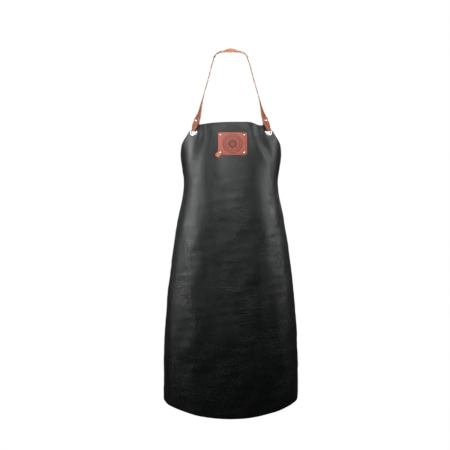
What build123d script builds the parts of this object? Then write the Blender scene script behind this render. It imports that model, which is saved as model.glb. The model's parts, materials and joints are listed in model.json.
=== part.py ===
from build123d import *
import math
import os

import numpy as np

# Full-length leather bib apron, hung from its neck strap and closed by a buckled waist belt.
# Millimetres. The front faces -Y, +X is to the right seen from the front, +Z is up.
# The origin is the underside of the neck strap at the nape, where it rests on the neck.

# Panel: one sheet of leather, wrapped round the body
PANEL_LENGTH = 865.0
PANEL_THICKNESS = 2.0
TOP_EDGE_DROP = 252.0          # from the nape down to the bib's top edge
BIB_DEPTH = 186.0              # from the nape forward to the bib's top edge
BODY_DEPTH = 212.0             # from the nape forward to the panel below the waist
BIB_CURVE_HALF_WIDTH = 156.0
CHEST_HALF_WIDTH = 153.0
WAIST_HALF_WIDTH = 144.0
HEM_HALF_WIDTH = 206.0
CHEST_DROP = 85.0
WAIST_DROP = 165.0
BIB_HALF_FLAT = 117.0          # half the sheet's flat width at its top edge
WING_HALF_FLAT = 282.0         # the same at the waist, where the wings end
HEM_HALF_FLAT = 296.0
SQUARENESS = 2.35              # 2 is an ellipse, more is boxier
WING_TOE_IN = 6.0              # degrees that the wings turn inwards
HEM_CORNER_RADIUS = 40.0
HEM_SWEEP_RADIUS = 640.0       # the hem rises to both sides along this arc, seen from the front
BIB_SHOULDER_X = 92.0          # from here outwards the top edge slopes down, square to the strap
WING_EDGE_SLOPE = 10.0         # degrees that the wing's rear edge leans under its grommet

# Grommets: an eyelet with a rolled flange, and a washer behind it
GROMMET_HOLE_RADIUS = 8.0
GROMMET_WALL = 0.6
GROMMET_FLANGE_RADIUS = 12.0
GROMMET_CROWN = 1.0
WASHER_RADIUS = 11.4
WASHER_THICKNESS = 0.6
SEAT_MARGIN = 0.8              # flat leather pressed round each flange
HOLE_CLEARANCE = 0.1
NECK_GROMMET_DROP = 24.0
NECK_GROMMET_FLAT_X = 114.0
WAIST_GROMMET_INSET = 20.0     # from the wing's rear edge

# Straps
STRAP_THICKNESS = 2.0
NECK_STRAP_WIDTH = 18.0
WAIST_STRAP_WIDTH = 18.0
PINCHED_WIDTH = 12.0           # where a strap passes through its grommet
LOOP_GAP = 3.0                 # half the room between a loop's two layers
CLOSED_GAP = 0.3               # half the room left between them at the stud
NECK_LOOP_SLACK = 0.6
WAIST_LOOP_SLACK = 0.3
NECK_STRAP_LEAN = 13.0         # degrees that the neck strap leans inwards as it rises
STUD_BEYOND_EDGE = 9.5         # from the leather's edge to the stud that closes a loop
TIP_BEYOND_STUD = 7.5

# Studs: a domed cap with a barrel, and a screw from the other side
STUD_RADIUS = 4.2
STUD_HEIGHT = 1.8
STUD_BARREL_RADIUS = 2.2
STUD_SCREW_RADIUS = 1.2
STUD_HEAD_HEIGHT = 1.0
SCREW_CLEARANCE = 0.05

# Patch, tag and their rivets
PATCH_WIDTH = 84.0
PATCH_HEIGHT = 67.0
PATCH_THICKNESS = 2.0
PATCH_CORNER_RADIUS = 4.0
PATCH_CENTRE_X = 4.0
PATCH_CENTRE_DROP = 62.0
LAYER_CLEARANCE = 0.05
RIVET_INSET = 7.0
RIVET_RADIUS = 4.0
RIVET_HEIGHT = 1.8
RIVET_POST_RADIUS = 1.4
RIVET_BACK_HEIGHT = 1.0
RIVET_STAND_OFF = 0.2          # the flat cap touches the curved leather only at its rim
TAG_SIZE = 13.0
TAG_NECK_WIDTH = 6.0
TAG_REACH = 9.0                # from the tag's centre to its rivet
TAG_THICKNESS = 2.0

# Belt and buckle, laid out flat in the belt's plane
BELT_DEPTH = 95.0              # from the waist grommets back to the buckle's plane
BELT_CORNER_RADIUS = 48.0
BELT_DROOP = 20.0              # degrees that the belt hangs down when nobody wears it
BUCKLE_X = 32.0                # the heel bar's place
BUCKLE_REACH = 20.0            # from the heel bar to the front bar
BUCKLE_HALF_HEIGHT = 11.8
BUCKLE_BAR_RADIUS = 1.6
BUCKLE_CORNER_RADIUS = 2.6
BAR_CLEARANCE = 0.3            # between a bar of the buckle and the strap round it
FOLD_RADIUS = BUCKLE_BAR_RADIUS + BAR_CLEARANCE + STRAP_THICKNESS / 2   # of the folded strap's middle
FOLD_TAIL = 45.0               # from the heel bar to the folded end
PRONG_WIDTH = 3.0
PRONG_THICKNESS = 1.8
PRONG_EYE_WALL = 1.3
PRONG_CLEARANCE = 0.08
PRONG_SLOT_WIDTH = 4.6
TAIL_LENGTH = 76.0             # of the free strap beyond the heel bar
HOLE_PITCH = 20.0
STRAP_HOLE_RADIUS = 2.2
KEEPER_WIDTH = 10.0
KEEPER_THICKNESS = 1.6
KEEPER_CLEARANCE = 0.25
FIXED_KEEPER_X = -26.0         # from the heel bar
SLIDING_KEEPER_X = -60.0
FOLD_RIVET_X = (-16.0, -37.0)
FOLD_RIVET_RADIUS = 3.2
FOLD_RIVET_HEIGHT = 0.4
TAIL_CLEARANCE = 0.4
TAIL_LIFT = FOLD_RADIUS + STRAP_THICKNESS + FOLD_RIVET_HEIGHT + TAIL_CLEARANCE   # over the heel bar
ARC_STEP = math.radians(20)


def smooth(rows, place):
    """Value at a place on the smooth curve through rows of (place, value)."""
    places = np.array([row[0] for row in rows], float)
    values = np.array([row[1] for row in rows], float)
    slopes = np.gradient(values, places)
    low = np.clip(np.searchsorted(places, place) - 1, 0, len(places) - 2)
    step = places[low + 1] - places[low]
    t = (place - places[low]) / step
    start = values[low] * (2 * t**3 - 3 * t**2 + 1) + slopes[low] * step * (t**3 - 2 * t**2 + t)
    end = values[low + 1] * (3 * t**2 - 2 * t**3) + slopes[low + 1] * step * (t**3 - t**2)
    return start + end


def unit(vector):
    """The vector at length one."""
    return vector / np.linalg.norm(vector)


def below_waist(share):
    """Drop below the top edge at a share of the way from the waist to the hem."""
    return WAIST_DROP + share * (PANEL_LENGTH - WAIST_DROP)


def skirt_width(share):
    """Half width at a share of the growth from the waist to the hem."""
    return WAIST_HALF_WIDTH + share * (HEM_HALF_WIDTH - WAIST_HALF_WIDTH)


HALF_WIDTH = [
    (0, BIB_CURVE_HALF_WIDTH),
    (CHEST_DROP, CHEST_HALF_WIDTH),
    (WAIST_DROP, WAIST_HALF_WIDTH),
    (below_waist(0.2), skirt_width(0.35)),
    (below_waist(0.45), skirt_width(0.74)),
    (below_waist(0.7), skirt_width(0.96)),
    (PANEL_LENGTH, HEM_HALF_WIDTH),
]
WRAP_DEPTH = [(0, 104), (CHEST_DROP, 112), (WAIST_DROP, 124), (below_waist(0.45), 146), (PANEL_LENGTH, 158)]
FRONT_LINE = [
    (0, -BIB_DEPTH),
    (CHEST_DROP, -0.45 * BIB_DEPTH - 0.55 * BODY_DEPTH),
    (WAIST_DROP, -BODY_DEPTH + 4),
    (below_waist(0.45), -BODY_DEPTH),
    (PANEL_LENGTH, -BODY_DEPTH),
]
HALF_FLAT = [
    (0, BIB_HALF_FLAT),
    (0.23 * WAIST_DROP, BIB_HALF_FLAT + 0.2 * (WING_HALF_FLAT - BIB_HALF_FLAT)),
    (0.45 * WAIST_DROP, BIB_HALF_FLAT + 0.455 * (WING_HALF_FLAT - BIB_HALF_FLAT)),
    (0.67 * WAIST_DROP, BIB_HALF_FLAT + 0.745 * (WING_HALF_FLAT - BIB_HALF_FLAT)),
    (WAIST_DROP, WING_HALF_FLAT),
    (below_waist(0.1), HEM_HALF_FLAT - 3),
    (PANEL_LENGTH, HEM_HALF_FLAT),
]


def panel_place(flat_x, drop, lift=0.0):
    """Point of the worn panel.

    flat_x is the distance from the centre line measured along the leather, drop the distance
    below the top edge, and lift the distance outwards from the sheet's middle surface. Each
    level is a superellipse quarter each side, then a straight wing that runs backwards.
    """
    angle = np.linspace(0, math.pi / 2, 300)
    half = smooth(HALF_WIDTH, drop)
    x = half * np.sin(angle) ** (2 / SQUARENESS)
    y = smooth(FRONT_LINE, drop) + smooth(WRAP_DEPTH, drop) * (1 - np.cos(angle) ** (2 / SQUARENESS))
    run = np.linspace(1, 300, 100)
    toe = math.radians(WING_TOE_IN)
    x = np.append(x, x[-1] - run * math.sin(toe))
    y = np.append(y, y[-1] + run * math.cos(toe))
    length = np.append(0, np.cumsum(np.hypot(np.diff(x), np.diff(y))))
    along = np.abs(flat_x)
    near = np.maximum(along - 1, 0)
    tangent = np.array([
        np.interp(near + 2, length, x) - np.interp(near, length, x),
        np.interp(near + 2, length, y) - np.interp(near, length, y),
    ])
    tangent = np.where(along < 1, np.array([[1.0], [0.0]]), tangent / np.hypot(*tangent))
    side = np.where(np.asarray(flat_x) < 0, -1, 1)
    out_x = np.interp(along, length, x) + lift * tangent[1]
    out_y = np.interp(along, length, y) - lift * tangent[0]
    return np.stack([side * out_x, out_y, np.full_like(out_x, -TOP_EDGE_DROP - drop)], axis=-1)


def panel_axes(side, flat_x, drop):
    """Middle point, outward normal, rearward tangent and up of one half's surface."""
    middle = panel_place(np.array([flat_x]), drop)[0]
    tangent = panel_place(np.array([flat_x + 2]), drop)[0] - panel_place(np.array([flat_x - 2]), drop)[0]
    rise = panel_place(np.array([flat_x]), drop - 2)[0] - panel_place(np.array([flat_x]), drop + 2)[0]
    tangent = unit(tangent)
    normal = unit(np.cross(tangent, rise))
    up = np.cross(normal, tangent)
    mirror = np.array([side, 1, 1])
    return middle * mirror, normal * mirror, tangent * mirror, up * mirror


def surface_plane(side, flat_x, drop):
    """Plane on the panel's middle surface with its z axis outwards."""
    middle, normal, tangent, _ = panel_axes(side, flat_x, drop)
    return Plane(origin=tuple(middle), x_dir=tuple(tangent), z_dir=tuple(normal))


def leather_skin(low_lift, high_lift):
    """Closed sheet that follows the panel from one lift off its middle surface to another."""
    shares = np.linspace(-1, 1, 21)
    wires = []
    drops = [WAIST_DROP * step / 7 for step in range(8)]
    drops += [below_waist(share) for share in (0.02, 0.045, 0.08, 0.13, 0.2, 0.32, 0.45, 0.58, 0.7, 0.85, 1)]
    for drop in drops:
        flat = shares * smooth(HALF_FLAT, drop)
        outer = [tuple(point) for point in panel_place(flat, drop, high_lift)]
        inner = [tuple(point) for point in panel_place(flat, drop, low_lift)][::-1]
        edges = [
            Edge.make_spline(outer),
            Edge.make_line(outer[-1], inner[0]),
            Edge.make_spline(inner),
            Edge.make_line(inner[-1], outer[0]),
        ]
        wires.append(Wire(edges))
    return Solid.make_loft(wires, ruled=True)


def rounded_route(points, radii):
    """Straight runs joined by tangent arcs, as points; an inner point of radius 0 stays."""
    points = [np.array(point, float) for point in points]
    route = [points[0]]
    for before, corner, after, radius in zip(points, points[1:], points[2:], radii):
        if radius == 0:
            route.append(corner)
            continue
        into = unit(corner - before)
        out = unit(after - corner)
        turn = math.acos(np.clip(into @ out, -1, 1))
        start = corner - into * radius * math.tan(turn / 2)
        sideways = unit(out - into * math.cos(turn))
        for angle in np.linspace(0, turn, max(2, math.ceil(turn / ARC_STEP) + 1)):
            route.append(start + radius * (into * math.sin(angle) + sideways * (1 - math.cos(angle))))
    route.append(points[-1])
    kept = [route[0]]
    for point in route[1:]:
        if np.linalg.norm(point - kept[-1]) > 0.01:
            kept.append(point)
    return np.array(kept)


def headings(points):
    """Direction of travel at each point, halfway between the runs that meet there."""
    runs = np.diff(points, axis=0)
    runs /= np.linalg.norm(runs, axis=1)[:, None]
    before = np.vstack([runs[:1], runs])
    after = np.vstack([runs, runs[-1:]])
    mean = before + after
    return mean / np.linalg.norm(mean, axis=1)[:, None]


def ribbon(points, across, widths):
    """Flat strap through the points: across is its width's direction at each of them."""
    rise = np.cross(headings(points), across) * STRAP_THICKNESS / 2
    reach = across * np.asarray(widths)[:, None] / 2
    wires = []
    for middle, out, up in zip(points, reach, rise):
        corners = [middle - out - up, middle + out - up, middle + out + up, middle - out + up]
        wires.append(Wire.make_polygon([tuple(corner) for corner in corners]))
    return Solid.make_loft(wires, ruled=True)


def loop_seat(slack):
    """From the grommet's centre to the middle of the strap's bend, which hangs on its rim."""
    rim = math.sqrt((GROMMET_HOLE_RADIUS - slack) ** 2 - (PINCHED_WIDTH / 2) ** 2)
    return rim + math.sqrt(LOOP_GAP**2 - (PANEL_THICKNESS / 2 + GROMMET_CROWN) ** 2)


def loop_lengths(edge, opening):
    """Along a loop from its bend: where its layers stop being parallel, the stud, the tip."""
    stud = edge + opening + STUD_BEYOND_EDGE
    return edge + opening + 0.8, stud, stud + TIP_BEYOND_STUD


def loop_route(edge, opening):
    """The loop seen along its width, as (outwards, along) points, from its tip to its exit."""
    parallel, stud, tip = loop_lengths(edge, opening)
    wide = LOOP_GAP + STRAP_THICKNESS / 2
    narrow = CLOSED_GAP + STRAP_THICKNESS / 2
    closed = stud - STUD_RADIUS - 0.5
    points = [
        (narrow, tip),
        (narrow, closed),
        (wide, parallel),
        (wide, PINCHED_WIDTH / 2),
        (wide, -wide),
        (-wide, -wide),
        (-wide, PINCHED_WIDTH / 2),
        (-wide, parallel),
        (-narrow, closed),
        (-narrow, tip),
    ]
    return rounded_route(points, [2, 2, 0, wide, wide, 0, 2, 2])


def loop_widths(route, full):
    """Full width along the layers, narrowed where the bend passes through the grommet."""
    return np.where(route[:, 1] < 1, PINCHED_WIDTH, full)


def stud_pair(plane):
    """Stud cap with its barrel on the outer side of a closed loop, and its screw."""
    face = CLOSED_GAP + STRAP_THICKNESS
    barrel_length = 2 * face - 0.1
    dome = Pos(0, 0, face) * dome_solid(STUD_RADIUS, STUD_HEIGHT)
    barrel = Pos(0, 0, face - barrel_length / 2) * Cylinder(STUD_BARREL_RADIUS, barrel_length)
    bore_depth = barrel_length - 0.6
    bore_middle = face - barrel_length + bore_depth / 2
    bore = Pos(0, 0, bore_middle) * Cylinder(STUD_SCREW_RADIUS + SCREW_CLEARANCE, bore_depth)
    cap = dome + barrel - bore
    head = Pos(0, 0, -face - STUD_HEAD_HEIGHT / 2) * Cylinder(STUD_RADIUS, STUD_HEAD_HEIGHT)
    slot = Pos(0, 0, -face - STUD_HEAD_HEIGHT) * Box(2 * STUD_RADIUS + 1, 0.9, 0.9)
    shank_length = bore_depth - 0.3
    shank = Pos(0, 0, -face + shank_length / 2) * Cylinder(STUD_SCREW_RADIUS, shank_length)
    screw = head - slot + shank
    return plane.location * cap, plane.location * screw


def dome_solid(radius, height):
    """Low dome standing on z = 0."""
    sphere_radius = (radius**2 + height**2) / (2 * height)
    ball = Pos(0, 0, height - sphere_radius) * Sphere(sphere_radius)
    return ball & (Pos(0, 0, height) * Cylinder(radius + 1, 2 * height))


def stud_hole(plane):
    """Cut for a stud's barrel through both layers of a loop."""
    return plane.location * Cylinder(STUD_BARREL_RADIUS + HOLE_CLEARANCE, 30)


def grommet_pair(plane):
    """Eyelet with its rolled flange outwards, and the washer that its back is rolled over."""
    outer = PANEL_THICKNESS / 2
    back = -outer - WASHER_THICKNESS
    tail = back - (GROMMET_CROWN - WASHER_THICKNESS)
    inner = GROMMET_HOLE_RADIUS
    wall = inner + GROMMET_WALL
    crown_middle = (inner + GROMMET_FLANGE_RADIUS) / 2
    roll = wall + 1.2
    with BuildPart() as eyelet:
        with BuildSketch(Plane.XZ):
            with BuildLine():
                Polyline((inner, outer), (inner, tail), (roll, tail), (roll, back), (wall, back))
                Line((wall, back), (wall, outer))
                Line((wall, outer), (GROMMET_FLANGE_RADIUS, outer))
                ThreePointArc(
                    (GROMMET_FLANGE_RADIUS, outer),
                    (crown_middle, outer + GROMMET_CROWN),
                    (inner, outer),
                )
            make_face()
        revolve(axis=Axis.Z)
    ring = Cylinder(WASHER_RADIUS, WASHER_THICKNESS) - Cylinder(wall + HOLE_CLEARANCE, 5)
    washer = Pos(0, 0, -outer - WASHER_THICKNESS / 2) * ring
    return plane.location * eyelet.part, plane.location * washer


def seated(panel, plane):
    """The panel pressed flat round a grommet, with the grommet's hole through it."""
    seat = GROMMET_FLANGE_RADIUS + SEAT_MARGIN
    hole = GROMMET_HOLE_RADIUS + GROMMET_WALL + HOLE_CLEARANCE
    panel = panel - plane.location * Cylinder(seat, 12)
    panel = panel + plane.location * Cylinder(seat + 0.3, PANEL_THICKNESS)
    return panel - plane.location * Cylinder(hole, 12)


def apron_panel(seats, rivet_planes):
    """The leather sheet with its hem and corners cut, its grommet seats and its rivet holes."""
    panel = leather_skin(-PANEL_THICKNESS / 2, PANEL_THICKNESS / 2)
    hem = -TOP_EDGE_DROP - PANEL_LENGTH
    rear = panel_place(np.array([HEM_HALF_FLAT]), PANEL_LENGTH)[0]
    sweep = Pos(0, 0, hem + HEM_SWEEP_RADIUS) * Rot(90, 0, 0) * Cylinder(HEM_SWEEP_RADIUS, 901)
    panel = panel - (Pos(0, 0, hem + 24) * Box(900, 900, 50) - sweep)
    corner_z = hem + HEM_SWEEP_RADIUS - math.sqrt(HEM_SWEEP_RADIUS**2 - rear[0] ** 2)
    radius = HEM_CORNER_RADIUS
    square = Pos(0, rear[1] - radius / 2 + 1, corner_z + radius / 2 - 2) * Box(900, radius + 2, radius + 4)
    disc = Pos(0, rear[1] - radius, corner_z + radius) * Rot(0, 90, 0) * Cylinder(radius, 901)
    panel = panel - (square - disc)
    corner = panel_place(np.array([BIB_HALF_FLAT]), 0)[0]
    reach = 60.0
    fall = reach * math.tan(math.radians(NECK_STRAP_LEAN))
    with BuildSketch(Plane.XZ) as shoulder:
        with BuildLine():
            Polyline((0, 0), (reach, -fall), (reach, 5), (0, 5), close=True)
        make_face()
    wedge = Pos(BIB_SHOULDER_X, corner[1], corner[2]) * extrude(shoulder.sketch, 60, both=True)
    panel = panel - wedge - mirror(wedge, Plane.YZ)
    for plane in seats:
        panel = seated(panel, plane)
    for plane in rivet_planes:
        panel = panel - plane.location * Cylinder(RIVET_POST_RADIUS + HOLE_CLEARANCE, 12)
    return panel


def rivet_spots():
    """Each patch rivet's (x, drop, whether it also holds the tag)."""
    across = PATCH_WIDTH / 2 - RIVET_INSET
    down = PATCH_HEIGHT / 2 - RIVET_INSET
    return [
        (PATCH_CENTRE_X + sx * across, PATCH_CENTRE_DROP + sz * down, sx < 0 < sz)
        for sx in (-1, 1)
        for sz in (-1, 1)
    ]


def rivet_plane(x, drop):
    """Plane on the panel under a rivet."""
    side = -1 if x < 0 else 1
    return surface_plane(side, abs(x), drop)


def patch_and_tag():
    """The name patch on the bib, and the tag that its lower left rivet holds."""
    low = PANEL_THICKNESS / 2 + LAYER_CLEARANCE
    high = low + PATCH_THICKNESS
    middle = Pos(PATCH_CENTRE_X, -BODY_DEPTH, -TOP_EDGE_DROP - PATCH_CENTRE_DROP) * Rot(90, 0, 0)
    outline = RectangleRounded(PATCH_WIDTH, PATCH_HEIGHT, PATCH_CORNER_RADIUS)
    patch = leather_skin(low, high) & (middle * extrude(outline, 60, both=True))
    rivet_x, rivet_drop, _ = [spot for spot in rivet_spots() if spot[2]][0]
    turned = Pos(rivet_x, -BODY_DEPTH, -TOP_EDGE_DROP - rivet_drop) * Rot(90, 0, 0) * Rot(0, 0, 45)
    square = Pos(-TAG_REACH, 0) * RectangleRounded(TAG_SIZE, TAG_SIZE, 0.8)
    neck_length = TAG_REACH + TAG_NECK_WIDTH / 2
    neck = Pos(TAG_NECK_WIDTH / 2 - neck_length / 2, 0) * RectangleRounded(neck_length, TAG_NECK_WIDTH, 1.5)
    tag_skin = leather_skin(high + LAYER_CLEARANCE, high + LAYER_CLEARANCE + TAG_THICKNESS)
    tag = tag_skin & (turned * extrude(square + neck, 60, both=True))
    for x, drop, _ in rivet_spots():
        hole = rivet_plane(x, drop).location * Cylinder(RIVET_POST_RADIUS + HOLE_CLEARANCE, 30)
        patch = patch - hole
        tag = tag - hole
    return patch, tag


def patch_rivets():
    """Domed rivet caps with their posts, and the flat caps that close them behind."""
    caps = []
    backs = []
    behind = -PANEL_THICKNESS / 2 - RIVET_STAND_OFF
    for x, drop, holds_tag in rivet_spots():
        plane = rivet_plane(x, drop)
        face = PANEL_THICKNESS / 2 + LAYER_CLEARANCE + PATCH_THICKNESS + 0.05
        if holds_tag:
            face += LAYER_CLEARANCE + TAG_THICKNESS
        bottom = behind - RIVET_BACK_HEIGHT + 0.35
        post = Pos(0, 0, (face + bottom) / 2) * Cylinder(RIVET_POST_RADIUS, face - bottom)
        caps.append(plane.location * (Pos(0, 0, face) * dome_solid(RIVET_RADIUS, RIVET_HEIGHT) + post))
        disc = Pos(0, 0, behind - RIVET_BACK_HEIGHT / 2) * Cylinder(RIVET_RADIUS, RIVET_BACK_HEIGHT)
        socket = Pos(0, 0, behind) * Cylinder(RIVET_POST_RADIUS + 0.05, 2 * (behind - bottom + 0.05))
        backs.append(plane.location * (disc - socket))
    return caps, backs


def neck_loop_axes(side):
    """Bend's middle, outward normal, along and across directions of one neck loop."""
    middle, normal, tangent, up = panel_axes(side, NECK_GROMMET_FLAT_X, NECK_GROMMET_DROP)
    lean = math.radians(NECK_STRAP_LEAN)
    along = up * math.cos(lean) - tangent * math.sin(lean)
    across = tangent * math.cos(lean) + up * math.sin(lean)
    return middle + along * loop_seat(NECK_LOOP_SLACK), normal, along, across


def neck_loop_edge():
    """From the neck loop's bend to the bib's sloping top edge, along the strap's longer side."""
    bend, _, along, across = neck_loop_axes(1)
    slope = math.tan(math.radians(NECK_STRAP_LEAN))
    reaches = []
    for offset in (-NECK_STRAP_WIDTH / 2, NECK_STRAP_WIDTH / 2):
        start = bend + across * offset
        gap = -TOP_EDGE_DROP - slope * (start[0] - BIB_SHOULDER_X) - start[2]
        reaches.append(gap / (along[2] + slope * along[0]))
    return max(reaches)


def neck_stud_plane(side):
    """Plane between the neck loop's closed layers at its stud."""
    bend, normal, along, _ = neck_loop_axes(side)
    stud = loop_lengths(neck_loop_edge(), 0)[1]
    return Plane(origin=tuple(bend + along * stud), x_dir=tuple(along), z_dir=tuple(normal))


def neck_strap():
    """One strap, looped through both neck grommets and running over the nape."""
    bend, normal, along, across = neck_loop_axes(1)
    route = loop_route(neck_loop_edge(), 0)
    loop = bend + route[:, :1] * normal + route[:, 1:] * along
    exit_point = loop[-1]
    rise = (STRAP_THICKNESS / 2) * np.array([0.0, 0.44, 0.9])
    # Shoulder, side of the neck and nape, each with the way that the strap's grain side faces
    stops = [
        (exit_point, normal),
        (exit_point + np.array([-3.6, 5.0, 14.0]), (0.74, -0.66, 0.1)),
        (np.array([88.0, -138.0, -185.0]), (0.93, -0.3, 0.15)),
        (np.array([69.5, -92.0, -107.0]), (0.99, -0.05, 0.2)),
        (np.array([53.0, -44.0, -37.0]), (0.93, -0.07, 0.35)),
        (np.array([43.0, -16.0, -12.0]), (0.62, -0.14, 0.76)),
        (np.array([23.0, -2.5, -3.0]), (0.2, 0.1, 0.97)),
        (rise, (0.0, 0.44, 0.9)),
        (np.array([-23.0, -2.5, -3.0]), (-0.2, 0.1, 0.97)),
    ]
    places = np.array([stop[0] for stop in stops])
    facing = np.array([stop[1] for stop in stops], float)
    length = np.append(0, np.cumsum(np.linalg.norm(np.diff(places, axis=0), axis=1)))
    samples = np.linspace(0, length[-2], 25)[1:]
    curve = np.stack([smooth(list(zip(length, places[:, k])), samples) for k in range(3)], axis=1)
    faces = np.stack([smooth(list(zip(length, facing[:, k])), samples) for k in range(3)], axis=1)
    half = np.vstack([loop, curve])
    whole = np.vstack([half, half[-2::-1] * np.array([-1, 1, 1])])
    outward = np.vstack([np.tile(normal, (len(loop), 1)), faces])
    outward = np.vstack([outward, outward[-2::-1] * np.array([-1, 1, 1])])
    travel = headings(whole)
    sideways = np.cross(outward, travel)
    count = len(loop)
    sideways[:count] = -across
    sideways[-count:] = -across * np.array([-1, 1, 1])
    sideways /= np.linalg.norm(sideways, axis=1)[:, None]
    widths = loop_widths(route, NECK_STRAP_WIDTH)
    widths = np.concatenate([widths, np.full(len(whole) - 2 * count, NECK_STRAP_WIDTH), widths[::-1]])
    strap = ribbon(whole, sideways, widths)
    for side in (-1, 1):
        strap = strap - stud_hole(neck_stud_plane(side))
    return strap


def waist_flat_x():
    """Distance of the waist grommets from the centre line, along the leather."""
    return WING_HALF_FLAT - WAIST_GROMMET_INSET


def belt_location():
    """The belt's plane: it turns about the line through both waist grommets."""
    middle = panel_axes(1, waist_flat_x(), WAIST_DROP)[0]
    return Pos(0, middle[1], middle[2]) * Rot(-BELT_DROOP, 0, 0)


def waist_loop(side):
    """Points of one waist loop in the belt's plane, its widths and its stud's plane."""
    middle, normal, tangent, _ = panel_axes(side, waist_flat_x(), WAIST_DROP)
    outwards = unit(normal[:2])
    along = unit(tangent[:2])
    bend = np.array([middle[0], 0.0]) + along * loop_seat(WAIST_LOOP_SLACK)
    edge = WAIST_GROMMET_INSET - loop_seat(WAIST_LOOP_SLACK)
    droop = math.radians(BELT_DROOP)
    opening = WAIST_STRAP_WIDTH / 2 * math.tan(droop + math.radians(WING_EDGE_SLOPE)) + 1.5
    opening += WAIST_GROMMET_INSET * (1 / math.cos(droop) - 1)
    route = loop_route(edge, opening)
    points = bend + route[:, :1] * outwards + route[:, 1:] * along
    stud = bend + along * loop_lengths(edge, opening)[1]
    plane = Plane(origin=(stud[0], stud[1], 0), x_dir=(0, 0, 1), z_dir=(outwards[0], outwards[1], 0))
    return points, loop_widths(route, WAIST_STRAP_WIDTH), plane


def belt_strap(loop, widths, rest, radii):
    """Waist strap: its loop, then the rest of its route, all in the belt's plane."""
    tail = rounded_route([loop[-1]] + rest, radii)[1:]
    flat = np.vstack([loop, tail])
    points = np.column_stack([flat, np.zeros(len(flat))])
    across = np.tile([0.0, 0.0, 1.0], (len(points), 1))
    widths = np.concatenate([widths, np.full(len(tail), WAIST_STRAP_WIDTH)])
    return ribbon(points, across, widths)


def waist_strap_left():
    """The strap that carries the buckle, folded round its heel bar and riveted to itself."""
    loop, widths, stud = waist_loop(-1)
    corner = -WAIST_HALF_WIDTH + 22
    fold_end = FOLD_RADIUS - STRAP_THICKNESS - LAYER_CLEARANCE
    rest = [
        (corner, BELT_DEPTH + FOLD_RADIUS),
        (BUCKLE_X + FOLD_RADIUS, BELT_DEPTH + FOLD_RADIUS),
        (BUCKLE_X + FOLD_RADIUS, BELT_DEPTH - FOLD_RADIUS),
        (BUCKLE_X - 4, BELT_DEPTH - FOLD_RADIUS),
        (BUCKLE_X - 11, BELT_DEPTH + fold_end),
        (BUCKLE_X - FOLD_TAIL, BELT_DEPTH + fold_end),
    ]
    strap = belt_strap(loop, widths, rest, [BELT_CORNER_RADIUS, FOLD_RADIUS, FOLD_RADIUS, 4, 4])
    strap = strap - stud_hole(stud)
    slot_length = 2 * FOLD_RADIUS + 8
    slot = Pos(BUCKLE_X + 4 - slot_length / 2, BELT_DEPTH, 0) * Box(slot_length, 12, PRONG_SLOT_WIDTH)
    strap = strap - slot
    for x in FOLD_RIVET_X:
        strap = strap - Pos(BUCKLE_X + x, BELT_DEPTH, 0) * Rot(90, 0, 0) * Cylinder(1.3, 12)
    return strap


def waist_strap_right():
    """The strap with the row of holes, threaded under the front bar and over the heel bar."""
    loop, widths, stud = waist_loop(1)
    corner = WAIST_HALF_WIDTH - 22
    under = -BUCKLE_BAR_RADIUS - STRAP_THICKNESS / 2 - BAR_CLEARANCE
    front = BUCKLE_X + BUCKLE_REACH
    rest = [
        (corner, BELT_DEPTH + under),
        (front - 0.5, BELT_DEPTH + under),
        (BUCKLE_X + 3, BELT_DEPTH + TAIL_LIFT),
        (BUCKLE_X - TAIL_LENGTH, BELT_DEPTH + TAIL_LIFT),
    ]
    strap = belt_strap(loop, widths, rest, [BELT_CORNER_RADIUS, 7, 7])
    strap = strap - stud_hole(stud)
    crossing = Pos(BUCKLE_X + BUCKLE_REACH * 0.52, BELT_DEPTH + 1.5, 0)
    strap = strap - crossing * Box(15, 12, PRONG_SLOT_WIDTH)
    for step in range(1, 4):
        hole = Pos(BUCKLE_X + BUCKLE_REACH / 2 - HOLE_PITCH * step, BELT_DEPTH + TAIL_LIFT, 0)
        strap = strap - hole * Rot(90, 0, 0) * Cylinder(STRAP_HOLE_RADIUS, 3)
    return strap


def buckle_frame():
    """Closed round-wire frame: heel bar, two sides and front bar."""
    outline = Plane.XZ * RectangleRounded(BUCKLE_REACH, 2 * BUCKLE_HALF_HEIGHT, BUCKLE_CORNER_RADIUS)
    path = outline.face().outer_wire()
    wire_end = Plane(origin=path @ 0, z_dir=path % 0) * Circle(BUCKLE_BAR_RADIUS)
    frame = sweep(wire_end, path=path)
    return Pos(BUCKLE_X + BUCKLE_REACH / 2, BELT_DEPTH, 0) * frame


def buckle_prong():
    """Eye round the heel bar and an arm that lies on the front bar."""
    bore = BUCKLE_BAR_RADIUS + PRONG_CLEARANCE
    outer = bore + PRONG_EYE_WALL
    eye = Cylinder(outer, PRONG_WIDTH)
    lift = BUCKLE_BAR_RADIUS + PRONG_THICKNESS / 2 + 0.08
    slope = math.degrees(math.asin(lift / BUCKLE_REACH))
    length = BUCKLE_REACH + 1.8
    arm = Rot(0, 0, slope) * (Pos(length / 2, 0, 0) * Box(length, PRONG_THICKNESS, PRONG_WIDTH))
    return Pos(BUCKLE_X, BELT_DEPTH, 0) * (eye + arm - Cylinder(bore, 2 * PRONG_WIDTH))


def strap_keeper(x, inner_low):
    """Leather band round both straps."""
    low = inner_low - KEEPER_CLEARANCE
    high = TAIL_LIFT + STRAP_THICKNESS / 2 + KEEPER_CLEARANCE
    tall = WAIST_STRAP_WIDTH + 2 * KEEPER_CLEARANCE
    place = Pos(BUCKLE_X + x, BELT_DEPTH + (low + high) / 2, 0)
    wall = 2 * KEEPER_THICKNESS
    outer = Box(KEEPER_WIDTH, high - low + wall, tall + wall)
    outer = fillet(outer.edges().filter_by(Axis.X), 1.4)
    return place * (outer - Box(KEEPER_WIDTH + 2, high - low, tall))


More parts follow.
